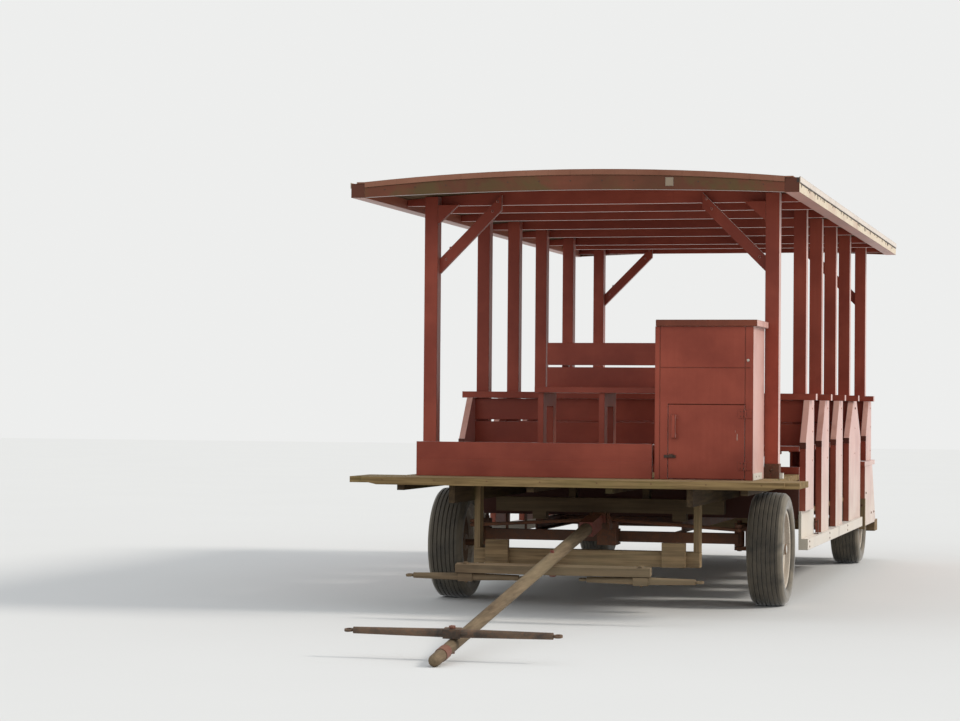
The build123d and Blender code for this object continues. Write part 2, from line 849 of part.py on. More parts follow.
# Toe board and cupboard at the front of the deck
def toe_board():
    """Two boards, one above the other, in front of the front bench."""
    x0, x1 = -post_in_x, box_left_x - lid_over - gap
    s0, s1 = toe_s, toe_s + toe_t
    low = block(x0, x1, s0, s1, deck_top_z + gap, toe_seam_z - gap / 2)
    top = block(x0, x1, s0, s1, toe_seam_z + gap / 2, toe_top_z)
    pieces = [low, top]
    for x in (x0 + board_t, (x0 + x1) / 2, x1 - board_t):
        near, far = x - board_t / 2, x + board_t / 2
        pieces.append(block(near, far, s1 + gap, s1 + gap + board_t, deck_top_z + gap, toe_top_z))
    return pieces


def cupboard_case():
    """Hollow cupboard with front boards, a door opening, a shelf and grooves."""
    x0, x1 = box_left_x, box_right_x
    s0, s1 = box_front_s, box_back_s
    z0, z1 = deck_top_z + gap, box_top_z
    front = block(x0, x1, s0, s0 + sheet_t, z0, z1)
    front -= block(door_left_x, door_right_x, s0 - 1, s0 + sheet_t + 1, z0 + door_sill, door_top_z)
    seam = block(x0 + box_strip_w, x1 + 1, s0 - 1, s0 + box_groove, box_seam_z - 2, box_seam_z + 2)
    strip = block(x0 + box_strip_w - 2, x0 + box_strip_w + 2, s0 - 1, s0 + box_groove, z0 - 1, z1 + 1)
    right_strip_x = x1 - box_strip_w - sheet_t
    right_strip = block(right_strip_x - 2, right_strip_x + 2, s0 - 1, s0 + box_groove, door_top_z, z1 + 1)
    front = front - seam - strip - right_strip
    wall = block(x0, x0 + sheet_t, s0, s1, z0, z1) + block(x1 - sheet_t, x1, s0, s1, z0, z1)
    back = block(x0, x1, s1 - sheet_t, s1, z0, z1)
    base = block(x0, x1, s0 + sheet_t, s1, z0, z0 + sheet_t)
    shelf = block(x0, x1, s0 + sheet_t, s1, door_top_z + 6, door_top_z + 6 + sheet_t)
    return front + wall + back + base + shelf


def cupboard_lid():
    """Thick fixed top that overhangs the front and the sides."""
    low = box_top_z + gap
    return block(box_left_x - lid_over, box_right_x - 1, box_front_s - lid_over, box_back_s, low, low + lid_t)


def door_board():
    """Door that closes flush in the cupboard's front."""
    z0 = deck_top_z + gap + door_sill + door_gap
    return block(
        door_left_x + door_gap, door_right_x - door_gap, box_front_s, box_front_s + sheet_t,
        z0, door_top_z - door_gap,
    )


def door_fittings():
    """Pull handle, latch plate and the moving hinge leaves."""
    face = box_front_s
    pieces = []
    x0, x1 = handle_x - handle_w / 2, handle_x + handle_w / 2
    z0, z1 = handle_z, handle_z + handle_h
    grip = block(x0 + 6, x1 - 6, face - handle_d, face - handle_d + 14, z0, z1)
    for z in (z0, z1 - 24):
        grip += block(x0 + 6, x1 - 6, face - handle_d, face - gap, z, z + 24)
        grip += block(x0, x1, face - 5, face - gap, z, z + 24)
    pieces.append(grip)
    x0, x1 = door_left_x + door_gap, latch_x + latch_w - 8
    plate = block(x0, x1, face - 5, face - gap, latch_z, latch_z + latch_h)
    plate += block(door_left_x + 12, latch_x + latch_w - 22, face - 16, face - 5, latch_z + 11, latch_z + 23)
    pieces.append(plate)
    for z in hinge_zs:
        pieces.append(hinge_leaf(z, -1))
    return pieces


def hinge_leaf(z, side):
    """One leaf of a surface hinge, with its share of the barrel."""
    face = box_front_s - gap
    x_pin, s_pin = door_right_x, box_front_s - gap - hinge_barrel_r
    edge = x_pin + side * (hinge_leaf_w if side < 0 else hinge_fixed_w)
    near, far = sorted((edge, x_pin + side * (hinge_barrel_r - 2)))
    leaf = block(near, far, face - hinge_leaf_t, face, z, z + hinge_h)
    third = hinge_h / 3
    if side < 0:
        low, high = z + third + gap, z + 2 * third - gap
        edge = x_pin - hinge_barrel_r - 1
        for z0, z1 in ((z - 1, low), (high, z + hinge_h + 1)):
            leaf -= block(edge, far + 1, face - 20, face + 1, z0, z1)
        leaf += prism_z(hinge_barrel_r, x_pin, s_pin, low, high, 8)
        return leaf - rod_z(hinge_pin + running_gap, x_pin, s_pin, z - 1, z + hinge_h + 1)
    leaf = leaf - block(near - 1, x_pin + hinge_barrel_r + 1, face - 20, face + 1, z + third, z + 2 * third)
    for z0 in (z, z + 2 * third):
        leaf += prism_z(hinge_barrel_r, x_pin, s_pin, z0, z0 + third, 8)
    return leaf + upright_pin(hinge_pin, x_pin, s_pin, z, z + hinge_h)


def hinge_leaves():
    """The fixed hinge leaves, with their pins."""
    return [hinge_leaf(z, 1) for z in hinge_zs]


# Axles and steering knuckles
def front_axle():
    """Axle beam with end bosses, kingpins and the upright pivot pin of the tongue."""
    s = front_axle_s
    low, top = axle_top_z - axle_h, axle_top_z - gap
    reach = king_x
    beam = block(-reach, reach, s - axle_w / 2, s + axle_w / 2, low, top)
    middle_z = axle_top_z - axle_h / 2
    boss_low, boss_top = middle_z - boss_h / 2, middle_z + boss_h / 2
    for side in (-1, 1):
        x = side * king_x
        beam += prism_z(boss_r, x, s, boss_low, boss_top)
        beam += upright_pin(king_r, x, s, boss_low - ear_gap - ear_t - 6, king_head_z)
    beam += upright_pin(pivot_r, 0, s, low - 5 - plate_t - 8, rail_top_z)
    return beam


def rear_axle():
    """Square rear axle with drop plates and spindles."""
    s = rear_axle_s
    low, top = axle_top_z - axle_h, axle_top_z - gap
    end_x = wheel_mid_x - hub_in - 14
    beam = block(-end_x + 40, end_x - 40, s - axle_w / 2, s + axle_w / 2, low, top)
    for side in (-1, 1):
        x0, x1 = sorted((side * (end_x - 40), side * end_x))
        beam += block(x0, x1, s - 45, s + 45, hub_z - 48, top)
        x0, x1 = sorted((side * (end_x - 1), side * (wheel_mid_x + hub_out - spindle_short)))
        beam += level_pin(spindle_r, x0, x1, s, hub_z)
    return beam


def knuckle():
    """Right-hand steering knuckle: ears, web, spindle and steering arm."""
    s = front_axle_s
    middle_z = axle_top_z - axle_h / 2
    boss_low, boss_top = middle_z - boss_h / 2, middle_z + boss_h / 2
    up0, up1 = boss_top + ear_gap, arm_top_z
    dn0, dn1 = boss_low - ear_gap - ear_t, boss_low - ear_gap
    web0, web1 = king_x + web_in, king_x + web_in + web_t
    body = block(web0, web1, s - boss_r, s + boss_r, dn0, up1)
    for z0, z1 in ((up0, up1), (dn0, dn1)):
        body += prism_z(boss_r, king_x, s, z0, z1)
        body += block(king_x, web1, s - boss_r, s + boss_r, z0, z1)
    arm0, arm1 = up1 - arm_t, up1
    pin_x, pin_s = king_x + tie_offset, s - tie_reach
    body += block(pin_x - arm_w / 2, pin_x + arm_w / 2, pin_s, s, arm0, arm1)
    body += prism_z(arm_w / 2, pin_x, pin_s, arm0, arm1)
    body -= rod_z(king_r + running_gap, king_x, s, dn0 - 1, up1 + 1)
    eye_mid = tie_outer_z
    body += upright_pin(tie_pin_r, pin_x, pin_s, eye_mid - tie_eye_t / 2 - 2, arm1)
    body += level_pin(spindle_r, web1 - 1, wheel_mid_x + hub_out - spindle_short, s, hub_z)
    return body


def tie_rod():
    """Right-hand tie rod, from the tongue's pin to the knuckle's pin."""
    pin_s = front_axle_s - tie_reach
    x0, x1 = tie_offset, king_x + tie_offset
    zi, zo = tie_inner_z, tie_outer_z
    half = tie_eye_t / 2
    rod = prism_z(tie_eye_r, x0, pin_s, zi - half, zi + half)
    rod += prism_z(tie_eye_r, x1, pin_s, zo - half, zo + half)
    start, end = Vector(x0, y_at(pin_s), zi), Vector(x1, y_at(pin_s), zo)
    line = end - start
    unit = line.normalized()
    first = start + unit * (tie_pin_r + 5)
    length = line.length - 2 * (tie_pin_r + 5)
    rod += extrude(Plane(origin=first, z_dir=unit) * RegularPolygon(tie_r, 8), amount=length, dir=unit)
    for x in (x0, x1):
        rod -= rod_z(tie_pin_r + running_gap, x, pin_s, zo - 60, zi + 60)
    return rod


# Tongue base, which turns the wheels through the tie rods
def tongue_base():
    """Two plates round the axle, the neck ahead of it, tie pins and hinge cheeks."""
    s = front_axle_s
    low = axle_top_z - axle_h
    up0 = axle_top_z + 3
    dn1 = low - 5
    shapes = []
    for z0, z1 in ((up0, up0 + plate_t), (dn1 - plate_t, dn1)):
        plate = prism_z(plate_half_w, 0, s, z0, z1, 16)
        plate += block(-plate_half_w, plate_half_w, s - neck_front, s, z0, z1)
        shapes.append(plate - rod_z(pivot_r + running_gap, 0, s, z0 - 1, z1 + 1))
    neck = block(-neck_half_w, neck_half_w, s - neck_front, s - neck_rear, dn1 - plate_t, neck_top_z)
    beam_low = neck_top_z - tongue_beam_h
    half = hinge_half
    tip_s = hinge_s
    for side in (-1, 1):
        x0, x1 = sorted((side * half, side * (half + hinge_cheek_t)))
        cheek = block(x0, x1, tip_s, s - tie_reach - 60, beam_low, pole_hinge_z - 2)
        cheek += prism_x(hinge_eye_r, x0, x1, tip_s, pole_hinge_z)
        shapes.append(cheek)
    beam_x = half + hinge_cheek_t
    beam = block(-beam_x, beam_x, tip_s + 60, s - neck_rear - 5, beam_low, neck_top_z)
    base = neck + beam
    for shape in shapes:
        base += shape
    pin_s = s - tie_reach
    wing = block(-tie_offset - 25, tie_offset + 25, pin_s - 25, pin_s + 25, neck_top_z - 14, neck_top_z)
    base += wing
    for side in (-1, 1):
        top = tie_inner_z + tie_eye_t / 2 + 4
        base += upright_pin(tie_pin_r, side * tie_offset, pin_s, neck_top_z - 5, top)
    pin_end = beam_x + 8
    base += level_pin(hinge_pin_r, -pin_end, pin_end, tip_s, pole_hinge_z)
    return base


# Wheels
def tyre():
    """Plain tyre about the origin, with a flat tread and bevelled shoulders."""
    half, bead = tyre_w / 2, tyre_bead_w / 2 - gap
    r0 = rim_r + gap
    right = [
        (bead, r0), (half, r0 + side_rise), (half, tyre_r - tyre_shoulder - shoulder_low),
        (half - tyre_shoulder, tyre_r),
    ]
    left = [(-x, r) for x, r in reversed(right)]
    return faceted(right + left, tyre_sides)


def wheel():
    """Right-hand wheel about the origin: rim, dished disc with vents, hub and cap."""
    half = tyre_bead_w / 2
    lip = half + rim_t
    r0, r1 = rim_r - rim_t, rim_r
    rim = faceted([
        (-lip, r0), (-lip, r1 + rim_lip), (-half, r1), (half, r1), (lip, r1 + rim_lip), (lip, r0),
    ], tyre_sides)
    x0, x1 = disc_out - disc_t, disc_out
    foot = disc_out - disc_dish
    reach = r0 + rim_t / 2
    disc = faceted([
        (x0, hub_r - disc_t), (x1, hub_r - disc_t), (x1, disc_flat_r), (foot + disc_t, reach),
        (foot, reach), (x0, disc_flat_r),
    ], tyre_sides)
    cap_end = hub_out + hub_cap_len
    hub = faceted([
        (-hub_in, 0), (-hub_in, hub_r), (x1 + hub_step, hub_r), (hub_out, hub_cap_r),
        (cap_end - hub_step, hub_cap_r), (cap_end, hub_cap_r - 2 * hub_step), (cap_end, 0),
    ], hub_sides)
    bore_len = hub_in + hub_out
    bore = Rot(0, 90, 0) * Cylinder(spindle_r + running_gap, bore_len + 1)
    bore = Pos(-hub_in + bore_len / 2 - 1, 0, 0) * bore
    shape = rim + disc
    for number in range(vent_count):
        turn = Rot(360 / vent_count * number, 0, 0)
        vent = turn * Pos(disc_out - disc_dish, 0, vent_ring_r) * Rot(0, 90, 0) * RegularPolygon(vent_r, 6)
        shape -= extrude(vent, amount=2 * disc_dish, dir=(1, 0, 0))
    return shape + hub - bore


def wheel_places():
    """Name, side, station of each wheel."""
    return (
        ("front_left", -1, front_axle_s), ("front_right", 1, front_axle_s),
        ("rear_left", -1, rear_axle_s), ("rear_right", 1, rear_axle_s),
    )


# Pole, evener, swingletrees and neck yoke, built level and then lowered to rest
def lowered(shape):
    """Turn a piece about the pole hinge from level to its resting place."""
    hinge = Axis((0, y_at(hinge_s), pole_hinge_z), (1, 0, 0))
    return shape.rotate(hinge, pole_rest_deg)


def along(distance):
    """Station of a place along the pole while it is level."""
    return hinge_s - distance


def pole():
    """Timber pole, tapered to a rounded tip."""
    start = socket_len - socket_depth
    r = pole_tip_r
    outline = [(start, 0), (start, pole_root_r), (pole_len, r)]
    outline += [(pole_len + r * sin(turn), r * cos(turn)) for turn in (pi / 6, pi / 3)]
    outline.append((pole_len + r, 0))
    whole = Pos(0, y_at(hinge_s), pole_hinge_z) * Rot(0, 0, -90) * faceted(outline, pole_sides)
    for radius, at in ((evener_bolt_r, evener_at), (yoke_bolt_r, yoke_at)):
        whole -= upright_pin(radius + 2 * gap, 0, along(at), 0.0, 2 * pole_hinge_z)
    return whole


def pole_irons():
    """Hinge socket of the pole and the ferrule near its tip."""
    half_w, half_h = socket_w / 2, socket_h / 2
    z = pole_hinge_z
    tube_start = socket_len - socket_depth
    tube = block(-half_w, half_w, along(socket_len), along(tube_start - 12), z - half_h, z + half_h)
    plane = Plane(origin=(0, y_at(along(tube_start)), z), x_dir=(1, 0, 0), z_dir=(0, -1, 0))
    socket = plane * RegularPolygon(pole_root_r + 2 * gap, pole_sides)
    tube -= extrude(socket, amount=socket_depth + 1, dir=(0, -1, 0))
    neck = block(-26, 26, along(tube_start - 10), along(hinge_eye_r - 4), z - 30, z + 30)
    eye = prism_x(hinge_eye_r, -half_w, half_w, hinge_s, z) + neck
    eye += block(-half_w, half_w, along(tube_start - 2), along(tube_start - 14), z - half_h, z + half_h)
    eye -= rod_x(hinge_pin_r + running_gap, -half_w - 1, half_w + 1, hinge_s, z)
    at = pole_len - ferrule_at
    radius = pole_radius(at) + gap
    inner = 2 * gap
    ferrule = faceted([
        (at - ferrule_len / 2, pole_radius(at - ferrule_len / 2) + inner),
        (at - ferrule_len / 2, radius + ferrule_t), (at + ferrule_len / 2, radius + ferrule_t),
        (at + ferrule_len / 2, pole_radius(at + ferrule_len / 2) + inner),
    ], pole_sides)
    ferrule = Pos(0, y_at(hinge_s), z) * Rot(0, 0, -90) * ferrule
    s, low = along(evener_at), evener_low_z()
    bolt = upright_pin(evener_bolt_r, 0, s, low - 14, z + pole_radius(evener_at) + 12)
    bolt += prism_z(evener_bolt_r + 10, 0, s, low - 14, low - 2, 6)
    s, yoke_top = along(yoke_at), yoke_z() + yoke_r
    pin = upright_pin(yoke_bolt_r, 0, s, z - pole_radius(yoke_at) - 12, yoke_top + 14)
    pin += prism_z(yoke_bolt_r + 8, 0, s, yoke_top + 2, yoke_top + 14, 6)
    return [lowered(tube + eye), lowered(ferrule), lowered(bolt), lowered(pin)]


def pole_radius(distance):
    """Radius of the pole at a distance from its hinge."""
    start = socket_len - socket_depth
    share = (distance - start) / (pole_len - start)
    return pole_root_r + (pole_tip_r - pole_root_r) * share


def evener_top_z():
    """Top of the evener while the pole is level."""
    return pole_hinge_z - pole_radius(evener_at) - stack_gap


def evener_low_z():
    """Underside of the evener while the pole is level."""
    return evener_top_z() - evener_t


def drilled(shape, radius, station, x=0.0):
    """A piece with an upright hole through it."""
    return shape - rod_z(radius, x, station, 0.0, 2 * pole_hinge_z)


def tapered_bar(middle_r, end_r, length, x, station, z):
    """Round bar along X that tapers from its middle to both ends."""
    half = length / 2
    bar = faceted([(-half, 0), (-half, end_r), (0, middle_r), (half, end_r), (half, 0)], 12)
    return Pos(x, y_at(station), z) * bar


def end_eye(x, station, z, side):
    """Flat eye with an upright hole, at one end of a bar."""
    eye = prism_z(eye_out_r, x, station, z - eye_t / 2, z + eye_t / 2)
    near, far = sorted((x, x - side * (eye_out_r + eye_shank)))
    eye += block(near, far, station - 10, station + 10, z - eye_t / 2, z + eye_t / 2)
    return eye - rod_z(eye_r, x, station, z - eye_t, z + eye_t)


def evener():
    """Long evener under the pole, with the two swingletree bolts."""
    s = along(evener_at)
    half = evener_len / 2
    outline = [
        (-half, s - evener_end_w / 2), (0, s - evener_w / 2), (half, s - evener_end_w / 2),
        (half, s + evener_end_w / 2), (0, s + evener_w / 2), (-half, s + evener_end_w / 2),
    ]
    top, low = evener_top_z(), evener_low_z()
    bar = slab_z(outline, low, top)
    bar = bar - rod_z(evener_bolt_r + running_gap, 0, s, low - 1, top + 1)
    bolt_low = low - stack_gap - 2 * swingle_r - 12
    for side in (-1, 1):
        x = side * swingle_at
        bar += upright_pin(swingle_bolt_r, x, s, bolt_low, top + 12)
        bar += prism_z(swingle_bolt_r + 9, x, s, top, top + 10, 6)
    return lowered(bar)


def swingle():
    """Right-hand swingletree with an eye at each end."""
    s = along(evener_at)
    z = evener_low_z() - stack_gap - swingle_r
    half = swingle_len / 2
    bar = tapered_bar(swingle_r, swingle_end_r, swingle_len, swingle_at, s, z)
    flat = block(swingle_at - 45, swingle_at + 45, s - 30, s + 30, z - swingle_r, z + swingle_r)
    bar = bar + flat
    bar -= rod_z(swingle_bolt_r + running_gap, swingle_at, s, z - 40, z + 40)
    for side in (-1, 1):
        bar += end_eye(swingle_at + side * (half + eye_out_r + eye_shank - 8), s, z, side)
    return lowered(bar)


def yoke_z():
    """Height of the neck yoke's middle while the pole is level."""
    return pole_hinge_z + pole_radius(yoke_at) + stack_gap + yoke_r


def neck_yoke():
    """Neck yoke on an upright bolt through the pole, with an eye at each end."""
    s = along(yoke_at)
    z = yoke_z()
    bar = tapered_bar(yoke_r, yoke_end_r, yoke_len, 0, s, z)
    bar += block(-45, 45, s - 30, s + 30, z - yoke_r, z + yoke_r)
    bar = drilled(bar, yoke_bolt_r + running_gap, s)
    x = yoke_len / 2 + eye_out_r + eye_shank - 8
    for side in (-1, 1):
        bar += end_eye(side * x, s, z, side)
    return lowered(bar)


# Pieces of every body
def place_wheel(shape, side, station):
    """Set a right-hand wheel piece at its hub, turned outwards on either side."""
    if side < 0:
        shape = shape.rotate(Axis.Z, 180)
    return Pos(side * wheel_mid_x, y_at(station), hub_z) * shape


right_posts = posts()
beam, beam_blocks, hangers = hanging_step()
step_board, step_arms = rear_step()
guards, guard_blocks = wheel_guards()
right_knuckle, right_rod = knuckle(), tie_rod()
right_swingle = swingle()
pieces = {
    "frame_rails": [frame_rails()],
    "floor_joists": floor_joists(),
    "floor_planks": floor_planks(),
    "bulkhead": [bulkhead()],
    "deck_planks": deck_planks(),
    "deck_beams": deck_beams(),
    "deck_stringers": deck_stringers(),
    "trestle": [trestle()],
    "hanging_step": [beam, *beam_blocks],
    "step_hangers": hangers,
    "side_sills": side_sills(),
    "sill_straps": sill_straps(),
    "front_skirts": front_skirts(),
    "wheel_boxes": wheel_boxes(),
    "wheel_guards": guards,
    "guard_blocks": guard_blocks,
    "rear_step": [step_board],
    "rear_step_arms": step_arms,
    "posts_right": right_posts,
    "posts_left": [other_side(post) for post in right_posts],
    "post_shoes": post_shoes(),
    "knee_braces": knee_braces(),
    "rafters": rafters(),
    "eave_beams": eave_beams(),
    "roof_fascias": roof_fascias(),
    "roof_deck": [roof_deck()],
    "front_bench": front_bench(),
    "toe_board": toe_board(),
    "cupboard_case": [cupboard_case()],
    "cupboard_lid": [cupboard_lid()],
    "hinge_leaves": hinge_leaves(),
    "cupboard_door": [door_board()],
    "door_fittings": door_fittings(),
    "front_axle": [front_axle()],
    "rear_axle": [rear_axle()],
    "knuckle_right": [right_knuckle],
    "knuckle_left": [other_side(right_knuckle)],
    "tie_rod_right": [right_rod],
    "tie_rod_left": [other_side(right_rod)],
    "tongue_base": [tongue_base()],
    "pole": [lowered(pole())],
    "pole_irons": pole_irons(),
    "evener": [evener()],
    "swingletree_right": [right_swingle],
    "swingletree_left": [other_side(right_swingle)],
    "neck_yoke": [neck_yoke()],
}
for number in range(1, len(post_stations)):
    pieces[f"bench_{number}"] = bench(number)
plain_tyre, plain_wheel = tyre(), wheel()
for name, side, station in wheel_places():
    pieces[f"tyre_{name}"] = [place_wheel(plain_tyre, side, station)]
    pieces[f"wheel_{name}"] = [place_wheel(plain_wheel, side, station)]

os.makedirs("parts", exist_ok=True)
for name, shapes in pieces.items():
    whole = shapes[0]
    if len(shapes) > 1:
        whole = Compound(children=[part for shape in shapes for part in shape.solids()])
    export_step(whole, f"parts/{name}.step")
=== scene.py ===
"""Carryall wagon: finishes, fine pieces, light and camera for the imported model.

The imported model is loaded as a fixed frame. Each sub-assembly below is a class that builds its own
fine pieces and dresses the model's nodes, and each finish is a frozen dataclass that makes one
procedural material. Every length is in metres, in the model's own frame: +X to the right of someone
who faces the wagon's front, +Y to the rear, +Z up.
"""
from __future__ import annotations

import logging
import math
import random
from collections.abc import Sequence
from dataclasses import dataclass, field
from enum import Enum, IntEnum
from functools import cache

import bmesh
import bpy
from mathutils import Matrix, Vector

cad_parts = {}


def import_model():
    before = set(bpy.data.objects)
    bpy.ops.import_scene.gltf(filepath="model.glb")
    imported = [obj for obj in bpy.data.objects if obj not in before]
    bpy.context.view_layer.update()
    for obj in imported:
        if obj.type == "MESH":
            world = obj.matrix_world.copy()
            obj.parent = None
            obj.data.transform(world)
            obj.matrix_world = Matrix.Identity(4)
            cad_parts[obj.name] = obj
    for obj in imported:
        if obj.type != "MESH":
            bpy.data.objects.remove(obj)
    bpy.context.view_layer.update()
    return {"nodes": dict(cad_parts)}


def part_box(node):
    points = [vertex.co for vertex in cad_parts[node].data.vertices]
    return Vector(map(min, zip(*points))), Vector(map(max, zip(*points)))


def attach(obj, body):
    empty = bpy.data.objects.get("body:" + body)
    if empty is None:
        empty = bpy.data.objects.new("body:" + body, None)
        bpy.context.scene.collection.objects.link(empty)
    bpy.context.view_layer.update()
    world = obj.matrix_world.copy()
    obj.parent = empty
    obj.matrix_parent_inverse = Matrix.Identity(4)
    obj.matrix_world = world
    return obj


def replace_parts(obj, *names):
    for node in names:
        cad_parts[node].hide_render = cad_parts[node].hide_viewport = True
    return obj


logging.basicConfig(level=logging.INFO, format="%(message)s")
log = logging.getLogger("wagon")

Colour = tuple[float, float, float]
Point = tuple[float, float, float]
Pair = tuple[float, float]
Pairs = tuple[Pair, ...]
Profile = Sequence[Pair]
Run = tuple[float, ...]
Row = list[bmesh.types.BMVert]

FORWARDS: Point = (0.0, -1.0, 0.0)
REARWARDS: Point = (0.0, 1.0, 0.0)
UPWARDS: Point = (0.0, 0.0, 1.0)
SKIN = 0.0003  # gap that keeps a fine piece off the face under it
HAIR = 0.0002  # the same for the thinnest pieces
LONG, FINE = 1.2, 26.0  # stretch of the grain along the fibres and across them
DOUBLE_BENCH = 4  # the bench with doubled bearers, whose top bolts are bare


class Grain(Enum):
    """Direction in which the fibres of a timber run."""

    ALONG_X = 0
    ALONG_Y = 1
    ALONG_Z = 2
    PANELS = 3

    def stretch(self, fine: float) -> Point:
        """Stretch of the grain on each axis, where panels run along Y."""
        along = 1 if self is Grain.PANELS else self.value
        return tuple(fine * (LONG if axis == along else FINE) for axis in range(3))


class Side(IntEnum):
    """Side of the wagon, as the sign of X."""

    LEFT = -1
    RIGHT = 1

    @property
    def outwards(self) -> Point:
        """Direction away from the wagon on this side."""
        return (float(self), 0.0, 0.0)


def linear(red: int, green: int, blue: int) -> Colour:
    """Turn a screen colour, 0 to 255, into the linear colour that a shader takes."""
    shares = (red / 255, green / 255, blue / 255)
    return tuple(v / 12.92 if v <= 0.04045 else ((v + 0.055) / 1.055) ** 2.4 for v in shares)


class Graph:
    """A node tree under construction."""

    def __init__(self, tree: bpy.types.NodeTree) -> None:
        """Empty the tree and keep it."""
        tree.nodes.clear()
        self.tree = tree

    def feed(self, value: object, target: bpy.types.NodeSocket) -> None:
        """Give an input either a link or a plain value.

        Args:
            value: A wire, a socket, a number, a colour or a data block.
            target: The input.
        """
        source = value.socket if isinstance(value, Wire) else value
        if isinstance(source, bpy.types.NodeSocket):
            self.tree.links.new(source, target)
        elif target.type == "RGBA":
            target.default_value = (*source, 1.0)
        else:
            target.default_value = source

    def node(
        self, kind: str, settings: dict[str, object] | None = None, *ordered: object, **named: object
    ) -> bpy.types.Node:
        """Add a node, with its settings first and its inputs after them.

        Args:
            kind: Blender's name of the node.
            settings: The node's own options.
            ordered: What its first inputs take, in order.
            named: What other inputs take, by name with _ for a space.

        Returns:
            The new node.
        """
        node = self.tree.nodes.new(kind)
        for name, value in (settings or {}).items():
            setattr(node, name, value)
        for value, target in zip(ordered, node.inputs):
            self.feed(value, target)
        for name, value in named.items():
            self.feed(value, node.inputs[name.replace("_", " ")])
        return node

    def math(self, kind: str, *values: object) -> Wire:
        """Add a Math node of a kind, with its inputs in order."""
        return Wire(self, self.node("ShaderNodeMath", {"operation": kind}, *values).outputs[0])


@dataclass(frozen=True)
class Wire:
    """A number that flows through a graph, so that plain arithmetic adds its Math nodes."""

    graph: Graph
    socket: bpy.types.NodeSocket

    def __add__(self, other: object) -> Wire:
        """Add another number to this one."""
        return self.graph.math("ADD", self, other)

    def __sub__(self, other: object) -> Wire:
        """Take another number from this one."""
        return self.graph.math("SUBTRACT", self, other)

    def __rsub__(self, other: float) -> Wire:
        """Take this number from another one."""
        return self.graph.math("SUBTRACT", other, self)

    def __mul__(self, other: object) -> Wire:
        """Multiply by another number."""
        return self.graph.math("MULTIPLY", self, other)

    def __abs__(self) -> Wire:
        """Drop the sign."""
        return self.graph.math("ABSOLUTE", self)

    def __or__(self, other: object) -> Wire:
        """Take the larger of two numbers."""
        return self.graph.math("MAXIMUM", self, other)


class Shader(Graph):
    """A material under construction, with short calls for the nodes that the finishes share."""

    def __init__(self, name: str) -> None:
        """Start an empty material.

        Args:
            name: Its name.
        """
        self.material = bpy.data.materials.new(name)
        self.material.use_nodes = True
        super().__init__(self.material.node_tree)
        self.surface = self.node("ShaderNodeBsdfPrincipled")
        self.node("ShaderNodeOutputMaterial", None, self.surface.outputs[0])
        self.place = self.node("ShaderNodeTexCoord").outputs["Object"]
        self.normal = self.node("ShaderNodeNewGeometry").outputs["Normal"]
        self.rounded = self.normal

    def ramp(self, value: object, low: float, high: float) -> Wire:
        """Spread a value smoothly from 0 at low to 1 at high."""
        node = self.node("ShaderNodeMapRange", {"interpolation_type": "SMOOTHSTEP"}, value, low, high)
        return Wire(self, node.outputs["Result"])

    def mix(self, share: object, first: object, second: object) -> bpy.types.NodeSocket:
        """Mix two colours by a share of the second, 0 to 1."""
        node = self.node("ShaderNodeMix", {"data_type": "RGBA"}, Factor=share, A=first, B=second)
        return node.outputs[2]

    def noise(
        self, size: float, detail: float, rough: float, warp: float = 0.0, stretch: Point = (1.0, 1.0, 1.0)
    ) -> Wire:
        """Add a noise.

        Args:
            size: Features a metre.
            detail: Number of finer layers.
            rough: Strength of the finer layers.
            warp: How much the noise bends itself.
            stretch: Factors on the coordinates.

        Returns:
            The noise, about 0.25 to 0.75.
        """
        inputs = {"Scale": size, "Detail": detail, "Roughness": rough, "Distortion": warp}
        place = self.node("ShaderNodeMapping", Vector=self.place, Scale=stretch).outputs[0]
        return Wire(self, self.node("ShaderNodeTexNoise", None, place, **inputs).outputs["Fac"])

    def axis(self, source: bpy.types.NodeSocket, name: str) -> Wire:
        """Take one axis of a vector, by its letter."""
        return Wire(self, self.node("ShaderNodeSeparateXYZ", None, source).outputs[name])

    def at(self, name: str) -> Wire:
        """Place on the piece along an axis, in metres."""
        return self.axis(self.place, name)

    def facing(self, name: str) -> Wire:
        """How far the surface faces along an axis, -1 to 1."""
        return self.axis(self.normal, name)

    def under(self, low: float, high: float) -> Wire:
        """Be 1 below one height and 0 above a higher one."""
        return 1.0 - self.ramp(self.at("Z"), low, high)

    def edge(self, radius: float) -> Wire:
        """Find sharp edges.

        Args:
            radius: Width of the band beside an edge, in metres.

        Returns:
            1 at sharp edges, 0 on flats.
        """
        self.rounded = self.node("ShaderNodeBevel", {"samples": 4}, radius).outputs[0]
        dot = self.node("ShaderNodeVectorMath", {"operation": "DOT_PRODUCT"}, self.rounded, self.normal)
        return self.ramp(1.0 - Wire(self, dot.outputs["Value"]), 0.02, 0.22)

    def bump(self, height: object, strength: float, distance: float) -> None:
        """Raise the surface by a pattern over its rounded edges, by a distance in metres."""
        inputs = {"Strength": strength, "Distance": distance, "Height": height, "Normal": self.rounded}
        self.feed(self.node("ShaderNodeBump", **inputs).outputs[0], self.surface.inputs["Normal"])

    def finish(self, colour: object, rough: object, **others: object) -> bpy.types.Material:
        """Feed the surface and hand the material over.

        Args:
            colour: Base colour.
            rough: Roughness.
            others: What the surface's other inputs take, by name with _ for a space.

        Returns:
            The finished material.
        """
        for name, value in {"Base_Color": colour, "Roughness": rough, **others}.items():
            self.feed(value, self.surface.inputs[name.replace("_", " ")])
        return self.material


DUST = linear(176, 158, 126)
RUST = linear(112, 62, 34)
PANEL_X = 1.1812  # beyond it on either side the bench ends begin, whose grain runs along Y


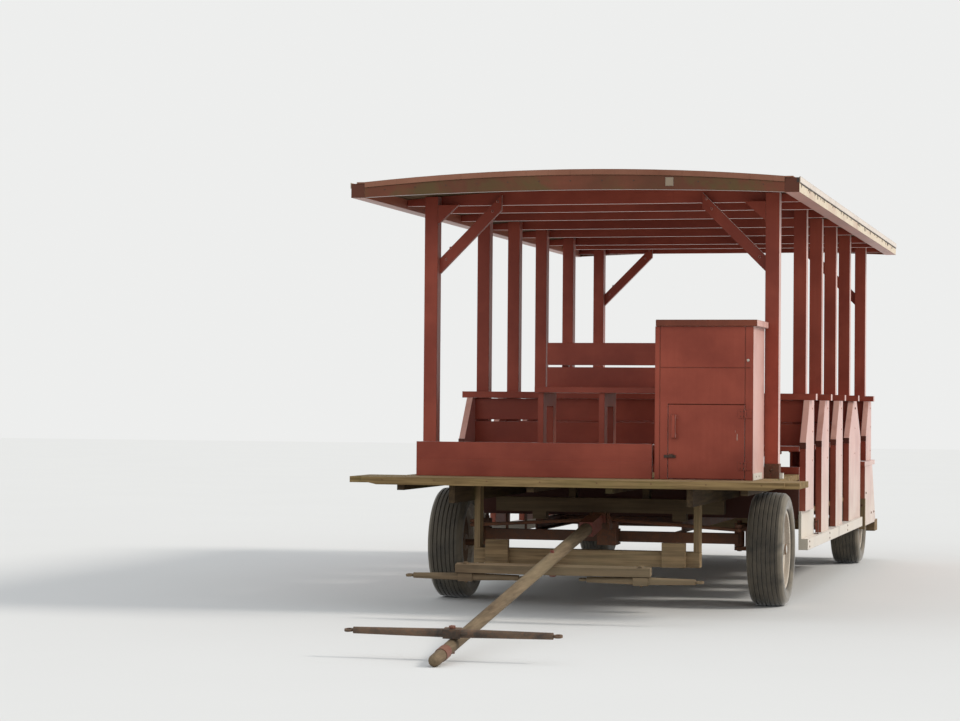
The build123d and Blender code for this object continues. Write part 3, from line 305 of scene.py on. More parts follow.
def grain_of(s: Shader, grain: Grain, fine: float = 1.0) -> Wire:
    """Add the fibre pattern of a timber.

    Args:
        s: The material under construction.
        grain: Direction of the fibres.
        fine: Factor on the fineness.

    Returns:
        The pattern, about 0.25 to 0.75.
    """
    fibres = s.noise(1.6, 6.0, 0.62, 0.35, grain.stretch(fine))
    if grain is not Grain.PANELS:
        return fibres
    across = s.noise(1.6, 6.0, 0.62, 0.35, Grain.ALONG_X.stretch(fine))
    outer = s.math("GREATER_THAN", abs(s.at("X")), PANEL_X)
    return across + (fibres - across) * outer


@dataclass(frozen=True)
class PaintedTimber:
    """Old paint on timber: worn at the edges and dusty low down; outward sides and tops turn paler, part sun
    fading and part painted sunlight and sky reflection, and undersides can be painted pale as a highlight.
    """

    name: str
    paint: Colour = linear(157, 73, 54)
    deep: Colour = linear(129, 54, 38)
    weathered_and_sunlit_colour: Colour = linear(224, 174, 161)
    grain: Grain = Grain.ALONG_X
    wear: float = 0.35
    dust: float = 0.22
    weathered_and_sunlit_share: float = 0.8
    bare: Colour = linear(122, 96, 68)
    whitened_and_sunlit_low: float = 0.6
    chalk: float = 0.8
    # Colour of the low patches: moss on the fascia, painted shade on the bulkhead.
    moss: Colour = linear(84, 74, 38)
    moss_and_shade_from: float = 0.0
    moss_and_shade_to: float = 0.0
    moss_and_shade_most: float = 0.0
    moss_and_shade_gaps: float = 0.42
    slopes: float = 0.6
    under: float = 0.0
    ends: float = 0.0

    def make(self) -> bpy.types.Material:
        """Build the material.

        Returns:
            The finished material.
        """
        s = Shader(self.name)
        fibres = grain_of(s, self.grain)
        clouds, spots = s.noise(1.7, 5.0, 0.6), s.noise(34.0, 5.0, 0.7)
        colour = s.mix(s.ramp(clouds, 0.34, 0.68), self.deep, self.paint)
        colour = s.mix(s.ramp(fibres, 0.35, 0.7) * 0.22, colour, self.deep)
        # Painted light: outward sides, tops and, where a finish asks, undersides get a paler colour. On sides
        # and tops this is part fading of the paint and part painted sunlight and sky reflection; on undersides
        # it is a painted highlight.
        outwards = s.facing("X") * s.math("SIGN", s.at("X"))
        sunlit_side = s.ramp(outwards, 0.2, 0.7) * s.ramp(abs(s.at("X")), 0.4, 0.7)
        above = s.ramp(s.facing("Z"), 0.15, 0.5)
        drip = s.noise(1.0, 5.0, 0.6, 0.2, (9.0, 9.0, 0.7))
        # Lower on the sunlit sides the pale colour goes toward cream: painted sunlight together with whitening
        # of the paint.
        pale = (1.0 - s.ramp(s.at("Z") + drip * 0.8, 0.65, 1.6)) * sunlit_side * self.whitened_and_sunlit_low
        weathered_and_lit_face = sunlit_side | above * self.slopes | s.ramp(s.facing("Z"), -0.6, -0.9) * self.under
        patchy = s.ramp(s.noise(3.1, 6.0, 0.62, 0.4), 0.25, 0.6) * 0.45 + 0.55
        weathered_and_sunlit_colour = s.mix(pale, self.weathered_and_sunlit_colour, linear(224, 214, 198))
        colour = s.mix(weathered_and_lit_face * patchy * self.weathered_and_sunlit_share, colour, weathered_and_sunlit_colour)
        streaks = s.noise(1.0, 5.0, 0.6, 0.2, (13.0, 13.0, 0.8))
        colour = s.mix(s.ramp(streaks, 0.52, 0.74) * 0.2, colour, self.deep)
        across = s.ramp(abs(s.facing("Y")), 0.6, 0.9)
        colour = s.mix(across * self.ends, colour, linear(78, 40, 26))
        chipped = s.edge(0.007) * s.ramp(s.noise(22.0, 6.0, 0.7), 0.42, 0.62) * self.wear
        flakes = s.ramp(spots, 0.62, 0.7) * s.ramp(clouds, 0.48, 0.7)
        bare = s.math("MINIMUM", 1.0, chipped + flakes * (self.wear * 0.8))
        colour = s.mix(bare, colour, s.mix(fibres, self.bare, linear(86, 64, 44)))
        dusty = (above * 0.8 | s.under(0.25, 1.0)) * s.ramp(clouds, 0.25, 0.7) * self.dust
        colour = s.mix(dusty, colour, DUST)
        # Low patches of a darker colour: moss and stain on the fascia, painted shade under the deck on the
        # bulkhead.
        if self.moss_and_shade_most > 0.0:
            patches = s.ramp(s.noise(2.6, 6.0, 0.65, 0.6), self.moss_and_shade_gaps, self.moss_and_shade_gaps + 0.2)
            moss_and_shade_share = s.under(self.moss_and_shade_from, self.moss_and_shade_to) * patches * self.moss_and_shade_most
            colour = s.mix(moss_and_shade_share, colour, self.moss)
        s.bump(fibres * 0.7 + bare * -0.6, 0.3, 0.0012)
        return s.finish(
            colour, (bare | dusty) * 0.41 + 0.44, Specular_IOR_Level=0.26,
            Sheen_Weight=self.chalk, Sheen_Roughness=0.3, Sheen_Tint=(1.0, 0.90, 0.87),
        )


@dataclass(frozen=True)
class BareTimber:
    """Unpainted timber gone grey-brown, with dark checks along its fibres."""

    name: str
    light: Colour = linear(140, 114, 82)
    dark: Colour = linear(82, 64, 44)
    grain: Grain = Grain.ALONG_X
    moss: Colour = linear(92, 92, 52)
    dust: float = 0.4
    boards: float = 0.0
    shade_z: float = 9.0
    edge_paint: Colour | None = None

    def make(self) -> bpy.types.Material:
        """Build the material.

        Returns:
            The finished material.
        """
        s = Shader(self.name)
        fibres, fine = grain_of(s, self.grain), grain_of(s, self.grain, 3.2)
        clouds = s.noise(1.3, 5.0, 0.6)
        colour = s.mix(s.ramp(fibres, 0.3, 0.7), self.dark, self.light)
        colour = s.mix(s.ramp(fine, 0.4, 0.65) * 0.35, colour, self.dark)
        colour = s.mix(s.ramp(clouds, 0.5, 0.72) * 0.4, colour, self.moss)
        checks = s.ramp(fine, 0.66, 0.74)
        height = fibres - checks
        if self.boards > 0.0:
            across = s.math("DIVIDE", s.at("X"), self.boards)
            seam = s.ramp(abs(s.math("FRACT", across) - 0.5), 0.474, 0.496)
            board = s.node("ShaderNodeTexWhiteNoise", {"noise_dimensions": "1D"}, W=s.math("FLOOR", across))
            colour = s.mix(Wire(s, board.outputs["Value"]) * 0.35, colour, self.dark)
            colour = s.mix(seam * 0.85, colour, linear(28, 20, 14))
            height -= seam * 3.0
        colour = s.mix(checks * 0.75, colour, linear(38, 28, 20))
        shade = s.ramp(s.at("Z"), self.shade_z, self.shade_z + 0.06)
        colour = s.mix(shade * 0.7, colour, linear(46, 34, 24))
        if self.edge_paint is not None:
            edge = s.mix(s.ramp(clouds, 0.3, 0.7), self.edge_paint, linear(150, 104, 84))
            colour = s.mix(s.ramp(abs(s.facing("Z")), 0.3, 0.7), edge, colour)
        colour = s.mix(s.edge(0.006) * 0.45, colour, self.light)
        dusty = (s.ramp(s.facing("Z"), 0.3, 0.95) | s.under(0.2, 0.9)) * s.ramp(clouds, 0.2, 0.75)
        colour = s.mix(dusty * self.dust, colour, DUST)
        s.bump(height, 0.5, 0.0016)
        return s.finish(colour, checks * 0.15 + 0.78, Specular_IOR_Level=0.15)


@dataclass(frozen=True)
class Metal:
    """Steel or iron with rust, old paint or zinc, and dust on what faces up."""

    name: str
    clean: Colour
    stain: Colour
    rust: float
    metallic: float
    rough: float
    dust: float = 0.3

    def make(self) -> bpy.types.Material:
        """Build the material.

        Returns:
            The finished material.
        """
        s = Shader(self.name)
        broad, grit = s.noise(5.5, 6.0, 0.65, 0.5), s.noise(95.0, 4.0, 0.7)
        share = s.ramp(broad + (grit - 0.5) * 0.5, 0.3, 0.7)
        eaten = s.math("MINIMUM", 1.0, share * (self.rust * 1.3)) | s.edge(0.003) * (0.5 * self.rust)
        colour = s.mix(eaten, self.clean, s.mix(s.ramp(grit, 0.3, 0.7), self.stain, RUST))
        above = s.ramp(s.facing("Z"), 0.2, 0.95)
        dusty = (above | s.under(0.1, 0.6)) * s.ramp(broad, 0.3, 0.75) * self.dust
        dull = eaten | dusty
        s.bump(grit * eaten + broad, 0.25, 0.0008)
        return s.finish(
            s.mix(dusty, colour, DUST), dull * (0.85 - self.rough) + self.rough,
            Metallic=(1.0 - dull) * self.metallic,
        )


@dataclass(frozen=True)
class TyreRubber:
    """Worn black rubber with pale road dust on its tread and sidewalls."""

    name: str

    def make(self) -> bpy.types.Material:
        """Build the material.

        Returns:
            The finished material.
        """
        s = Shader(self.name)
        broad, grit = s.noise(6.0, 6.0, 0.65, 0.4), s.noise(140.0, 4.0, 0.7)
        colour = s.mix(s.ramp(grit, 0.3, 0.7), linear(30, 29, 28), linear(46, 45, 42))
        tread = 1.0 - s.ramp(abs(s.facing("X")), 0.35, 0.9)
        cover = (0.82 - tread * 0.36) * s.ramp(broad, 0.16, 0.62)
        colour = s.mix(cover, colour, s.mix(tread, linear(126, 116, 99), linear(116, 106, 90)))
        # The groove bottoms are painted near-black: the rubber's own colour without dust, darkened further as
        # painted shade in the grooves.
        groove = Wire(s, s.node("ShaderNodeAttribute", {"attribute_name": "groove"}).outputs["Fac"])
        colour = s.mix(groove * 0.8, colour, linear(30, 26, 22))
        s.bump(grit + broad, 0.3, 0.0008)
        return s.finish(colour, 0.8, Sheen_Weight=0.6, Sheen_Roughness=0.3)


RED = PaintedTimber.paint
ALONG_Y, ALONG_Z = Grain.ALONG_Y, Grain.ALONG_Z
SHADED, SHADED_DARK = linear(76, 60, 40), linear(42, 31, 21)

FINISHES = {
    "red_x": PaintedTimber("red paint across"),
    "red_z": PaintedTimber("red paint upright", grain=ALONG_Z),
    # The rafters' undersides are painted pale: a painted highlight.
    "rafter": PaintedTimber("red paint on rafters", dust=0.1, under=0.8),
    "bench_ends": PaintedTimber("red paint on benches", grain=Grain.PANELS, whitened_and_sunlit_low=0.9, slopes=0.95),
    "guard": PaintedTimber("red paint on guards", grain=ALONG_Y, dust=0.25, whitened_and_sunlit_low=1.0),
    "lid": PaintedTimber(
        "red paint on the lid", linear(132, 66, 44), linear(104, 50, 32), wear=0.5, dust=0.35, chalk=0.4
    ),
    "fascia": PaintedTimber(
        "stained red fascia", linear(118, 62, 42), linear(92, 52, 32), wear=0.3, dust=0.1,
        moss_and_shade_from=2.68, moss_and_shade_to=2.80, moss_and_shade_most=0.7,
    ),
    # The bulkhead's dark colour below the deck's underside is painted shade.
    "bulkhead": PaintedTimber(
        "red boards with painted shade below the deck", wear=0.3, dust=0.1, moss=linear(52, 32, 24),
        moss_and_shade_from=0.80, moss_and_shade_to=0.88, moss_and_shade_most=0.85, moss_and_shade_gaps=0.1,
    ),
    "cap_end": PaintedTimber(
        "end grain", linear(104, 50, 36), linear(80, 38, 28), RED, ALONG_Z, wear=0.3, dust=0.1
    ),
    "fittings": PaintedTimber(
        "painted fittings", weathered_and_sunlit_colour=RED, grain=ALONG_Z, wear=0.25, dust=0.0, weathered_and_sunlit_share=0.0, bare=linear(96, 84, 74)
    ),
    "eave": PaintedTimber(
        "peeling cream over red", linear(164, 92, 62), linear(140, 72, 46), linear(216, 198, 168), ALONG_Y,
        wear=0.4, dust=0.1, weathered_and_sunlit_share=1.0, bare=linear(150, 118, 92), whitened_and_sunlit_low=0.0, ends=0.9, chalk=0.35,
    ),
    "edge_strip": PaintedTimber(
        "pale roof edge", linear(176, 160, 140), linear(140, 122, 102), linear(222, 208, 190), ALONG_Y,
        wear=0.2, dust=0.1, weathered_and_sunlit_share=0.9, bare=linear(140, 122, 100), whitened_and_sunlit_low=0.0,
    ),
    "pale": PaintedTimber(
        "weathered pale paint", linear(216, 209, 195), linear(182, 175, 160), linear(226, 220, 206), ALONG_Y,
        wear=0.7, dust=0.35, weathered_and_sunlit_share=0.6, bare=linear(120, 106, 86), whitened_and_sunlit_low=0.0,
    ),
    "bare_x": BareTimber("bare timber across"),
    "bare_y": BareTimber("bare timber along", grain=ALONG_Y),
    "bare_z": BareTimber("bare timber upright", grain=ALONG_Z),
    "trestle": BareTimber("trestle timber", shade_z=0.5),
    "under_x": BareTimber("shaded timber across", SHADED, SHADED_DARK, dust=0.15),
    "under_y": BareTimber("shaded timber along", SHADED, SHADED_DARK, ALONG_Y, dust=0.15),
    "deck": BareTimber("deck timber", linear(152, 126, 86), linear(98, 78, 50), moss=linear(88, 88, 42)),
    "roof": BareTimber(
        "roof boarding", linear(120, 98, 70), linear(74, 56, 38), ALONG_Y, linear(84, 86, 52), 0.2,
        boards=0.14, edge_paint=linear(122, 78, 60),
    ),
    "pole": BareTimber(
        "pole timber", linear(112, 94, 74), linear(66, 52, 40), ALONG_Y, linear(86, 78, 58), 0.3
    ),
    "bars": BareTimber(
        "swinging bar timber", linear(104, 84, 64), linear(58, 44, 34), Grain.ALONG_X, linear(82, 72, 52), 0.3
    ),
    # The frame rails' dark colour is painted shade under the deck, with rust.
    "shaded_steel": Metal("dark steel in painted shade", linear(62, 40, 32), linear(70, 44, 30), 0.7, 0.2, 0.6, 0.15),
    "tar": Metal("dark tar", linear(34, 28, 24), linear(48, 38, 30), 0.3, 0.0, 0.5, 0.1),
    "rusty": Metal("rusty steel", linear(82, 58, 44), linear(84, 52, 34), 1.0, 0.5, 0.5),
    "red_steel": Metal("red painted steel", linear(104, 40, 32), linear(92, 54, 38), 0.55, 0.0, 0.45),
    "iron": Metal("dark iron", linear(62, 56, 52), linear(84, 60, 44), 0.6, 0.55, 0.48, 0.25),
    "rim": Metal("dusty cream rim", linear(208, 200, 186), linear(150, 126, 100), 0.3, 0.1, 0.36, 0.25),
    "disc": Metal("brown wheel disc", linear(128, 108, 88), linear(90, 66, 48), 0.6, 0.15, 0.5, 0.45),
    "cap": Metal("bright hub cap", linear(206, 202, 194), linear(150, 134, 112), 0.15, 0.6, 0.32, 0.12),
    "rubber": TyreRubber("dusty tyre rubber"),
}


@cache
def paint_of(name: str) -> bpy.types.Material:
    """Make the material of a finish, by its short name, when it is first asked for."""
    return FINISHES[name].make()


def keep(piece: bpy.types.Object, body: str) -> bpy.types.Object:
    """Put a finished piece into the scene and fix it to its body.

    Args:
        piece: The piece, with its place in its mesh.
        body: Body that it rides on.

    Returns:
        The same piece.
    """
    bpy.context.scene.collection.objects.link(piece)
    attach(piece, body)
    log.info("%s: %d faces on %s", piece.name, len(piece.data.polygons), body)
    return piece


@dataclass
class Piece:
    """A fine piece under construction, built up in its mesh and then kept."""

    name: str
    body: str
    slot: str
    finish: str
    mesh: bmesh.types.BMesh = field(default_factory=bmesh.new)

    def block(self, low: Point, high: Point) -> None:
        """Add a plain block between two opposite corners.

        Args:
            low: One corner.
            high: The corner opposite.
        """
        xs, ys, zs = zip(low, high)
        corners = [self.mesh.verts.new((x, y, z)) for x in xs for y in ys for z in zs]
        for face in ((0, 1, 3, 2), (4, 6, 7, 5), (0, 4, 5, 1), (2, 3, 7, 6), (0, 2, 6, 4), (1, 5, 7, 3)):
            self.mesh.faces.new([corners[index] for index in face])

    def strip(self, near: Row, far: Row, closed: bool = True) -> None:
        """Join two rows of vertices with quads.

        Args:
            near: One row.
            far: The other, as long.
            closed: Whether the rows' last vertices join their first.
        """
        for index in range(len(near) if closed else len(near) - 1):
            after = (index + 1) % len(near)
            self.mesh.faces.new((near[index], near[after], far[after], far[index]))

    def ring(self, outline: Profile, centre: Point, steps: int, closed: bool = True) -> None:
        """Turn an outline about the X axis.

        Args:
            outline: Points as (x, radius).
            centre: Middle of the ring.
            steps: Number of steps round.
            closed: Whether the outline's last point joins its first.
        """
        rows = []
        for step in range(steps):
            angle = math.tau * step / steps
            y, z = math.cos(angle), math.sin(angle)
            rows.append([
                self.mesh.verts.new((centre[0] + x, centre[1] + r * y, centre[2] + r * z)) for x, r in outline
            ])
        for step in range(steps):
            self.strip(rows[step], rows[(step + 1) % steps], closed)

    def done(self, smooth_under: float = 32.0) -> bpy.types.Object:
        """Close the mesh, turn its faces outwards, paint the piece and keep it.

        Args:
            smooth_under: Faces that meet at less than this angle look smooth, in degrees.

        Returns:
            The finished piece.
        """
        bmesh.ops.remove_doubles(self.mesh, verts=self.mesh.verts, dist=1e-6)
        bmesh.ops.recalc_face_normals(self.mesh, faces=self.mesh.faces)
        mesh = bpy.data.meshes.new(self.name)
        self.mesh.to_mesh(mesh)
        self.mesh.free()
        mesh.polygons.foreach_set("use_smooth", [True] * len(mesh.polygons))
        mesh.set_sharp_from_angle(angle=math.radians(smooth_under))
        mesh.materials.append(paint_of(self.finish))
        return keep(bpy.data.objects.new(self.name, mesh), self.body)


class HeadShape(Enum):
    """Kind of fastener head, as sides and the share of the radius at its top."""

    ROUND = (12, 0.55)
    HEX = (6, 0.94)
    NAIL = (8, 0.9)


@dataclass
class Fasteners:
    """Heads of bolts, screws or nails, set on points that each face a direction."""

    name: str
    shape: HeadShape
    radius: float
    height: float
    points: list[tuple[Point, Point]]

    def tree(self, finish: str) -> bpy.types.NodeTree:
        """Build the node tree that puts one head on every point.

        Args:
            finish: Short name of the heads' finish.

        Returns:
            The tree, with inputs Radius, Height and Seed.
        """
        sides, top = self.shape.value
        graph = Graph(bpy.data.node_groups.new(f"heads {self.name}", "GeometryNodeTree"))
        face = graph.tree.interface
        kinds = {"Geometry": "Geometry", "Radius": "Float", "Height": "Float", "Seed": "Int"}
        for label, kind in kinds.items():
            face.new_socket(label, in_out="INPUT", socket_type=f"NodeSocket{kind}")
        face.new_socket("Geometry", in_out="OUTPUT", socket_type="NodeSocketGeometry")
        given = graph.node("NodeGroupInput").outputs
        head = graph.node(
            "GeometryNodeMeshCone", {"fill_type": "NGON"}, Vertices=sides, Depth=given["Height"],
            Radius_Top=graph.math("MULTIPLY", given["Radius"], top), Radius_Bottom=given["Radius"],
        )
        facing = graph.node(
            "GeometryNodeInputNamedAttribute", {"data_type": "FLOAT_VECTOR"}, Name="facing"
        ).outputs["Attribute"]
        align = graph.node("FunctionNodeAlignRotationToVector", {"axis": "Z"}, Vector=facing)
        spin = graph.node("FunctionNodeRandomValue", {"data_type": "FLOAT"}, Max=6.28, Seed=given["Seed"])
        about = graph.node("FunctionNodeAxisAngleToRotation", Axis=UPWARDS, Angle=spin.outputs[1])
        turned = graph.node(
            "FunctionNodeRotateRotation", {"rotation_space": "LOCAL"},
            Rotation=align.outputs[0], Rotate_By=about.outputs[0],
        )
        spread = graph.node(
            "GeometryNodeInstanceOnPoints", Points=given["Geometry"], Instance=head.outputs["Mesh"],
            Rotation=turned.outputs[0],
        )
        real = graph.node("GeometryNodeRealizeInstances", Geometry=spread.outputs[0])
        paint = graph.node("GeometryNodeSetMaterial", Geometry=real.outputs[0], Material=paint_of(finish))
        graph.node("NodeGroupOutput", Geometry=paint.outputs[0])
        return graph.tree

    def fix(
        self, finish: str, seed: int, body: str = "wagon", slot: str = "rusty_steel"
    ) -> bpy.types.Object:
        """Make the heads one plain piece and fix it to its body.

        Args:
            finish: Short name of the finish.
            seed: Seed of the heads' random turns.
            body: Body that the heads ride on.
            slot: Material slot of the record; not used.

        Returns:
            The finished piece.
        """
        mesh = bpy.data.meshes.new(f"{self.name}_points")
        mesh.from_pydata([place for place, _ in self.points], [], [])
        layer = mesh.attributes.new("facing", "FLOAT_VECTOR", "POINT")
        layer.data.foreach_set("vector", [value for _, facing in self.points for value in facing])
        seedbed = bpy.data.objects.new(f"{self.name}_seedbed", mesh)
        bpy.context.scene.collection.objects.link(seedbed)
        modifier = seedbed.modifiers.new("heads", "NODES")
        modifier.node_group = self.tree(finish)
        values = {"Radius": self.radius, "Height": self.height, "Seed": seed}
        for item in modifier.node_group.interface.items_tree:
            if item.in_out == "INPUT" and item.name in values:
                modifier[item.identifier] = values[item.name]
        graph = bpy.context.evaluated_depsgraph_get()
        plain = bpy.data.meshes.new_from_object(seedbed.evaluated_get(graph), depsgraph=graph)
        seedbed.modifiers.clear()
        bpy.data.objects.remove(seedbed)
        if "facing" in plain.attributes:
            plain.attributes.remove(plain.attributes["facing"])
        return keep(bpy.data.objects.new(self.name, plain), body)


@dataclass
class Dressing:
    """Finishes for the model's nodes."""

    coats: dict[str, str]

    def apply(self, nodes: dict[str, bpy.types.Object]) -> None:
        """Give every named node its finish.

        Args:
            nodes: The model's nodes by name.
        """
        for name, finish in self.coats.items():
            node = nodes[name]
            if not node.material_slots:
                node.data.materials.append(None)
            for slot in node.material_slots:
                slot.link = "OBJECT"
                slot.material = paint_of(finish)
            log.info("%s: dressed as %s", name, finish)


@dataclass(frozen=True)
class Places:
    """Where the model's pieces stand, measured from the front posts' front faces."""

    front_y: float
    stations: Run = (0.0, 1.394, 2.3, 3.208, 4.185, 5.416)

    @classmethod
    def read(cls) -> Places:
        """Read the front posts' front faces from the model."""
        return cls(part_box("posts_right")[0][1])

    def y(self, station: float) -> float:
        """Y of a station, measured rearwards."""
        return self.front_y + station


@dataclass(frozen=True)
class Hub:
    """One wheel's name, its middle and the side that it is on."""

    wheel: str
    centre: Point
    side: Side

    @classmethod
    def read(cls, wheel: str) -> Hub:
        """Read a wheel's place, such as front_left, from its tyre."""
        centre = tuple((a + b) / 2 for a, b in zip(*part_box(f"tyre_{wheel}")))
        return cls(wheel, centre, Side.RIGHT if centre[0] > 0 else Side.LEFT)

    def at(self, x: float, y: float, z: float) -> Point:
        """Place at an offset from the middle, with x counted outwards."""
        return (self.centre[0] + self.side * x, self.centre[1] + y, self.centre[2] + z)

    def outwards(self, outline: Profile) -> Profile:
        """Turn an outline's x towards the wheel's outer side."""
        return [(self.side * x, r) for x, r in outline]

    def piece(self, name: str, slot: str, finish: str) -> Piece:
        """Start a fine piece of this wheel."""
        return Piece(f"{name}_{self.wheel}", f"wheel_{self.wheel}", slot, finish)


@dataclass
class Tyre:
    """One tyre, with a ribbed tread and ringed sidewalls."""

    hub: Hub
    radius: float = 0.372
    tread_half: float = 0.0915
    crown_drop: float = 0.0042
    groove_d: float = 0.009
    groove_w: float = 0.0065
    wall_run: float = 0.0015
    lip_r: float = 0.001
    marked_half: float = 0.085
    grooves: Run = (0.0715, 0.043, 0.0145, -0.0145, -0.043, -0.0715)
    sidewall: Pairs = (
        (0.0877, 0.2505), (0.0887, 0.2620), (0.0985, 0.2650), (0.1045, 0.2695), (0.1065, 0.2720),
        (0.1105, 0.2765), (0.1118, 0.2790), (0.1158, 0.2870), (0.1172, 0.2955), (0.1177, 0.3020),
        (0.1179, 0.3065), (0.1176, 0.3105), (0.1168, 0.3160), (0.1172, 0.3185), (0.1166, 0.3285),
        (0.1148, 0.3315), (0.1128, 0.3425), (0.1092, 0.3505), (0.1045, 0.3562), (0.0995, 0.3602),
        (0.0955, 0.3635), (0.0915, 0.3672),
    )
    steps: int = 112

    def crown(self, x: float) -> float:
        """Radius of the slightly crowned tread at a distance from its middle."""
        return self.radius - self.crown_drop * (x / self.tread_half) ** 2

    def outline(self) -> Profile:
        """Draw the tyre from its right bead over the grooved tread to its left bead.

        Returns:
            Points as (x, radius).
        """
        points = list(self.sidewall)
        wide, narrow, ease = self.groove_w / 2, self.groove_w / 2 - self.wall_run, self.lip_r
        for middle in self.grooves:
            for end in (1, -1):
                lip = middle + end * wide
                wall = [
                    (lip + end * ease, self.crown(lip)), (lip, self.crown(lip) - ease),
                    (middle + end * narrow, self.crown(middle) - self.groove_d),
                ]
                points += wall[::end]
        return points + [(-x, r) for x, r in reversed(self.sidewall)]

    def build(self) -> None:
        """Build the tyre, with the bottoms of its grooves marked for the finish."""
        piece = self.hub.piece("ribbed_tyre", "tyre", "rubber")
        piece.ring(self.outline(), self.hub.centre, self.steps)
        marks = piece.mesh.verts.layers.float.new("groove")
        for vertex in piece.mesh.verts:
            x, y, z = (a - b for a, b in zip(vertex.co, self.hub.centre))
            deep = self.crown(x) - math.hypot(y, z) > self.groove_d / 2
            vertex[marks] = float(deep and abs(x) < self.marked_half)
        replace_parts(piece.done(28.0), f"tyre_{self.hub.wheel}")


@dataclass
class Wheel:
    """One wheel, turned smooth: deep rim, dished disc with round vents, and hub."""

    hub: Hub
    steps: int = 72
    disc_x: float = 0.034
    disc_t: float = 0.008
    flat_r: float = 0.160
    core_r: float = 0.050
    vents: int = 4
    vent_r: float = 0.021
    vent_ring_r: float = 0.128
    rim_r: float = 0.235
    seat_r: float = 0.2495
    lip_r: float = 0.262
    rim_t: float = 0.005
    nave: Pairs = (
        (-0.062, 0.0225), (-0.062, 0.056), (-0.056, 0.058), (0.058, 0.058), (0.066, 0.051),
        (0.066, 0.036), (0.100, 0.0345), (0.102, 0.030), (0.102, 0.001), (0.0695, 0.001),
        (0.0695, 0.0225),
    )

    def rim(self) -> Profile:
        """Draw the rim.

        Returns:
            Points as (x, radius).
        """
        outer = [
            (0.0935, self.lip_r), (0.0900, self.lip_r + 0.0005), (0.0875, self.lip_r - 0.003),
            (0.0870, self.seat_r), (0.0600, self.seat_r - 0.0015), (0.0500, self.rim_r),
        ]
        inside = self.seat_r - self.rim_t
        inner = [
            (0.0505, self.rim_r - self.rim_t), (0.0610, inside - 0.002), (0.0905, inside - 0.0005),
            (0.0922, self.lip_r - 0.006),
        ]
        far, back = ([(-x, r) for x, r in reversed(half)] for half in (outer, inner))
        return outer + far + back + inner

    def cone(self) -> Profile:
        """Draw the dished part between the flat disc and the rim.

        Returns:
            Points as (x, radius).
        """
        face = ((0.0, 0.0), (-0.002, 0.010), (-0.014, 0.030), (-0.034, 0.056), (-0.046, 0.0702))
        front = [(self.disc_x + x, self.flat_r + r) for x, r in face]
        return front + [(x - self.disc_t, r) for x, r in reversed(front)]

    def flat(self, piece: Piece) -> None:
        """Build the flat part of the disc, with its round vents.

        Args:
            piece: Where it goes.
        """
        half, span = math.pi / self.vents, self.core_r - self.flat_r
        arc, leg = self.steps // self.vents, 8
        outline = [(self.flat_r, half * (2 * n / arc - 1)) for n in range(arc)]
        outline += [(self.flat_r + span * n / leg, half) for n in range(leg)]
        outline += [(self.core_r, half * (1 - 2 * n / arc)) for n in range(arc)]
        outline += [(self.core_r - span * n / leg, -half) for n in range(leg)]
        for number in range(self.vents):
            turn = Matrix.Rotation(2 * half * number, 2)
            holes = []
            for x in (self.disc_x, self.disc_x - self.disc_t):
                rows = ([], [])
                for radius, angle in outline:
                    edge = (radius * math.cos(angle), radius * math.sin(angle))
                    away = math.atan2(edge[1], edge[0] - self.vent_ring_r)
                    hole = (self.vent_ring_r + self.vent_r * math.cos(away), self.vent_r * math.sin(away))
                    for row, place in zip(rows, (edge, hole)):
                        row.append(piece.mesh.verts.new(self.hub.at(x, *(turn @ Vector(place)))))
                piece.strip(*rows)
                holes.append(rows[1])
            piece.strip(*holes)

    def build(self) -> None:
        """Build a pale rim, and a brown disc with its middle."""
        hub = self.hub
        rim = hub.piece("turned_rim", "rim", "rim")
        rim.ring(hub.outwards(self.rim()), hub.centre, self.steps)
        rim.done(35.0)
        disc = hub.piece("turned_disc", "rim", "disc")
        for outline in (self.cone(), self.nave):
            disc.ring(hub.outwards(outline), hub.centre, self.steps)
        self.flat(disc)
        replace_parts(disc.done(35.0), f"wheel_{hub.wheel}")


@dataclass
class WheelTrim:
    """Nuts and bright cap of one wheel."""

    hub: Hub
    disc_x: float = 0.034
    nuts: int = 6
    nut_ring_r: float = 0.082
    nut_turn: float = 0.2
    cap_x: float = 0.066
    cap_r: float = 0.0372
    cap_len: float = 0.038
    cap_steps: int = 40
    cap_outline: Pairs = (
        (0.0, 0.0), (0.0, 1.1), (0.06, 1.12), (0.09, 1.0), (0.55, 0.97), (0.8, 0.9), (0.94, 0.76),
        (1.0, 0.55), (1.02, 0.3), (1.02, 0.0),
    )

    def cap(self) -> None:
        """Build the bright cap over the end of the hub, from its middle to its middle."""
        piece = self.hub.piece("hub_cap", "rim", "cap")
        outline = [(self.cap_x + self.cap_len * x, self.cap_r * r) for x, r in self.cap_outline]
        piece.ring(self.hub.outwards(outline), self.hub.centre, self.cap_steps, closed=False)
        piece.done(40.0)

    def build(self) -> None:
        """Build the nuts and the cap."""
        angles = [math.tau * number / self.nuts + self.nut_turn for number in range(self.nuts)]
        hub, ring = self.hub, self.nut_ring_r
        Fasteners(f"wheel_nuts_{hub.wheel}", HeadShape.HEX, 0.0125, 0.014, [
            (hub.at(self.disc_x, ring * math.cos(a), ring * math.sin(a)), hub.side.outwards) for a in angles
        ]).fix("rusty", 3, f"wheel_{hub.wheel}", "rim")
        self.cap()


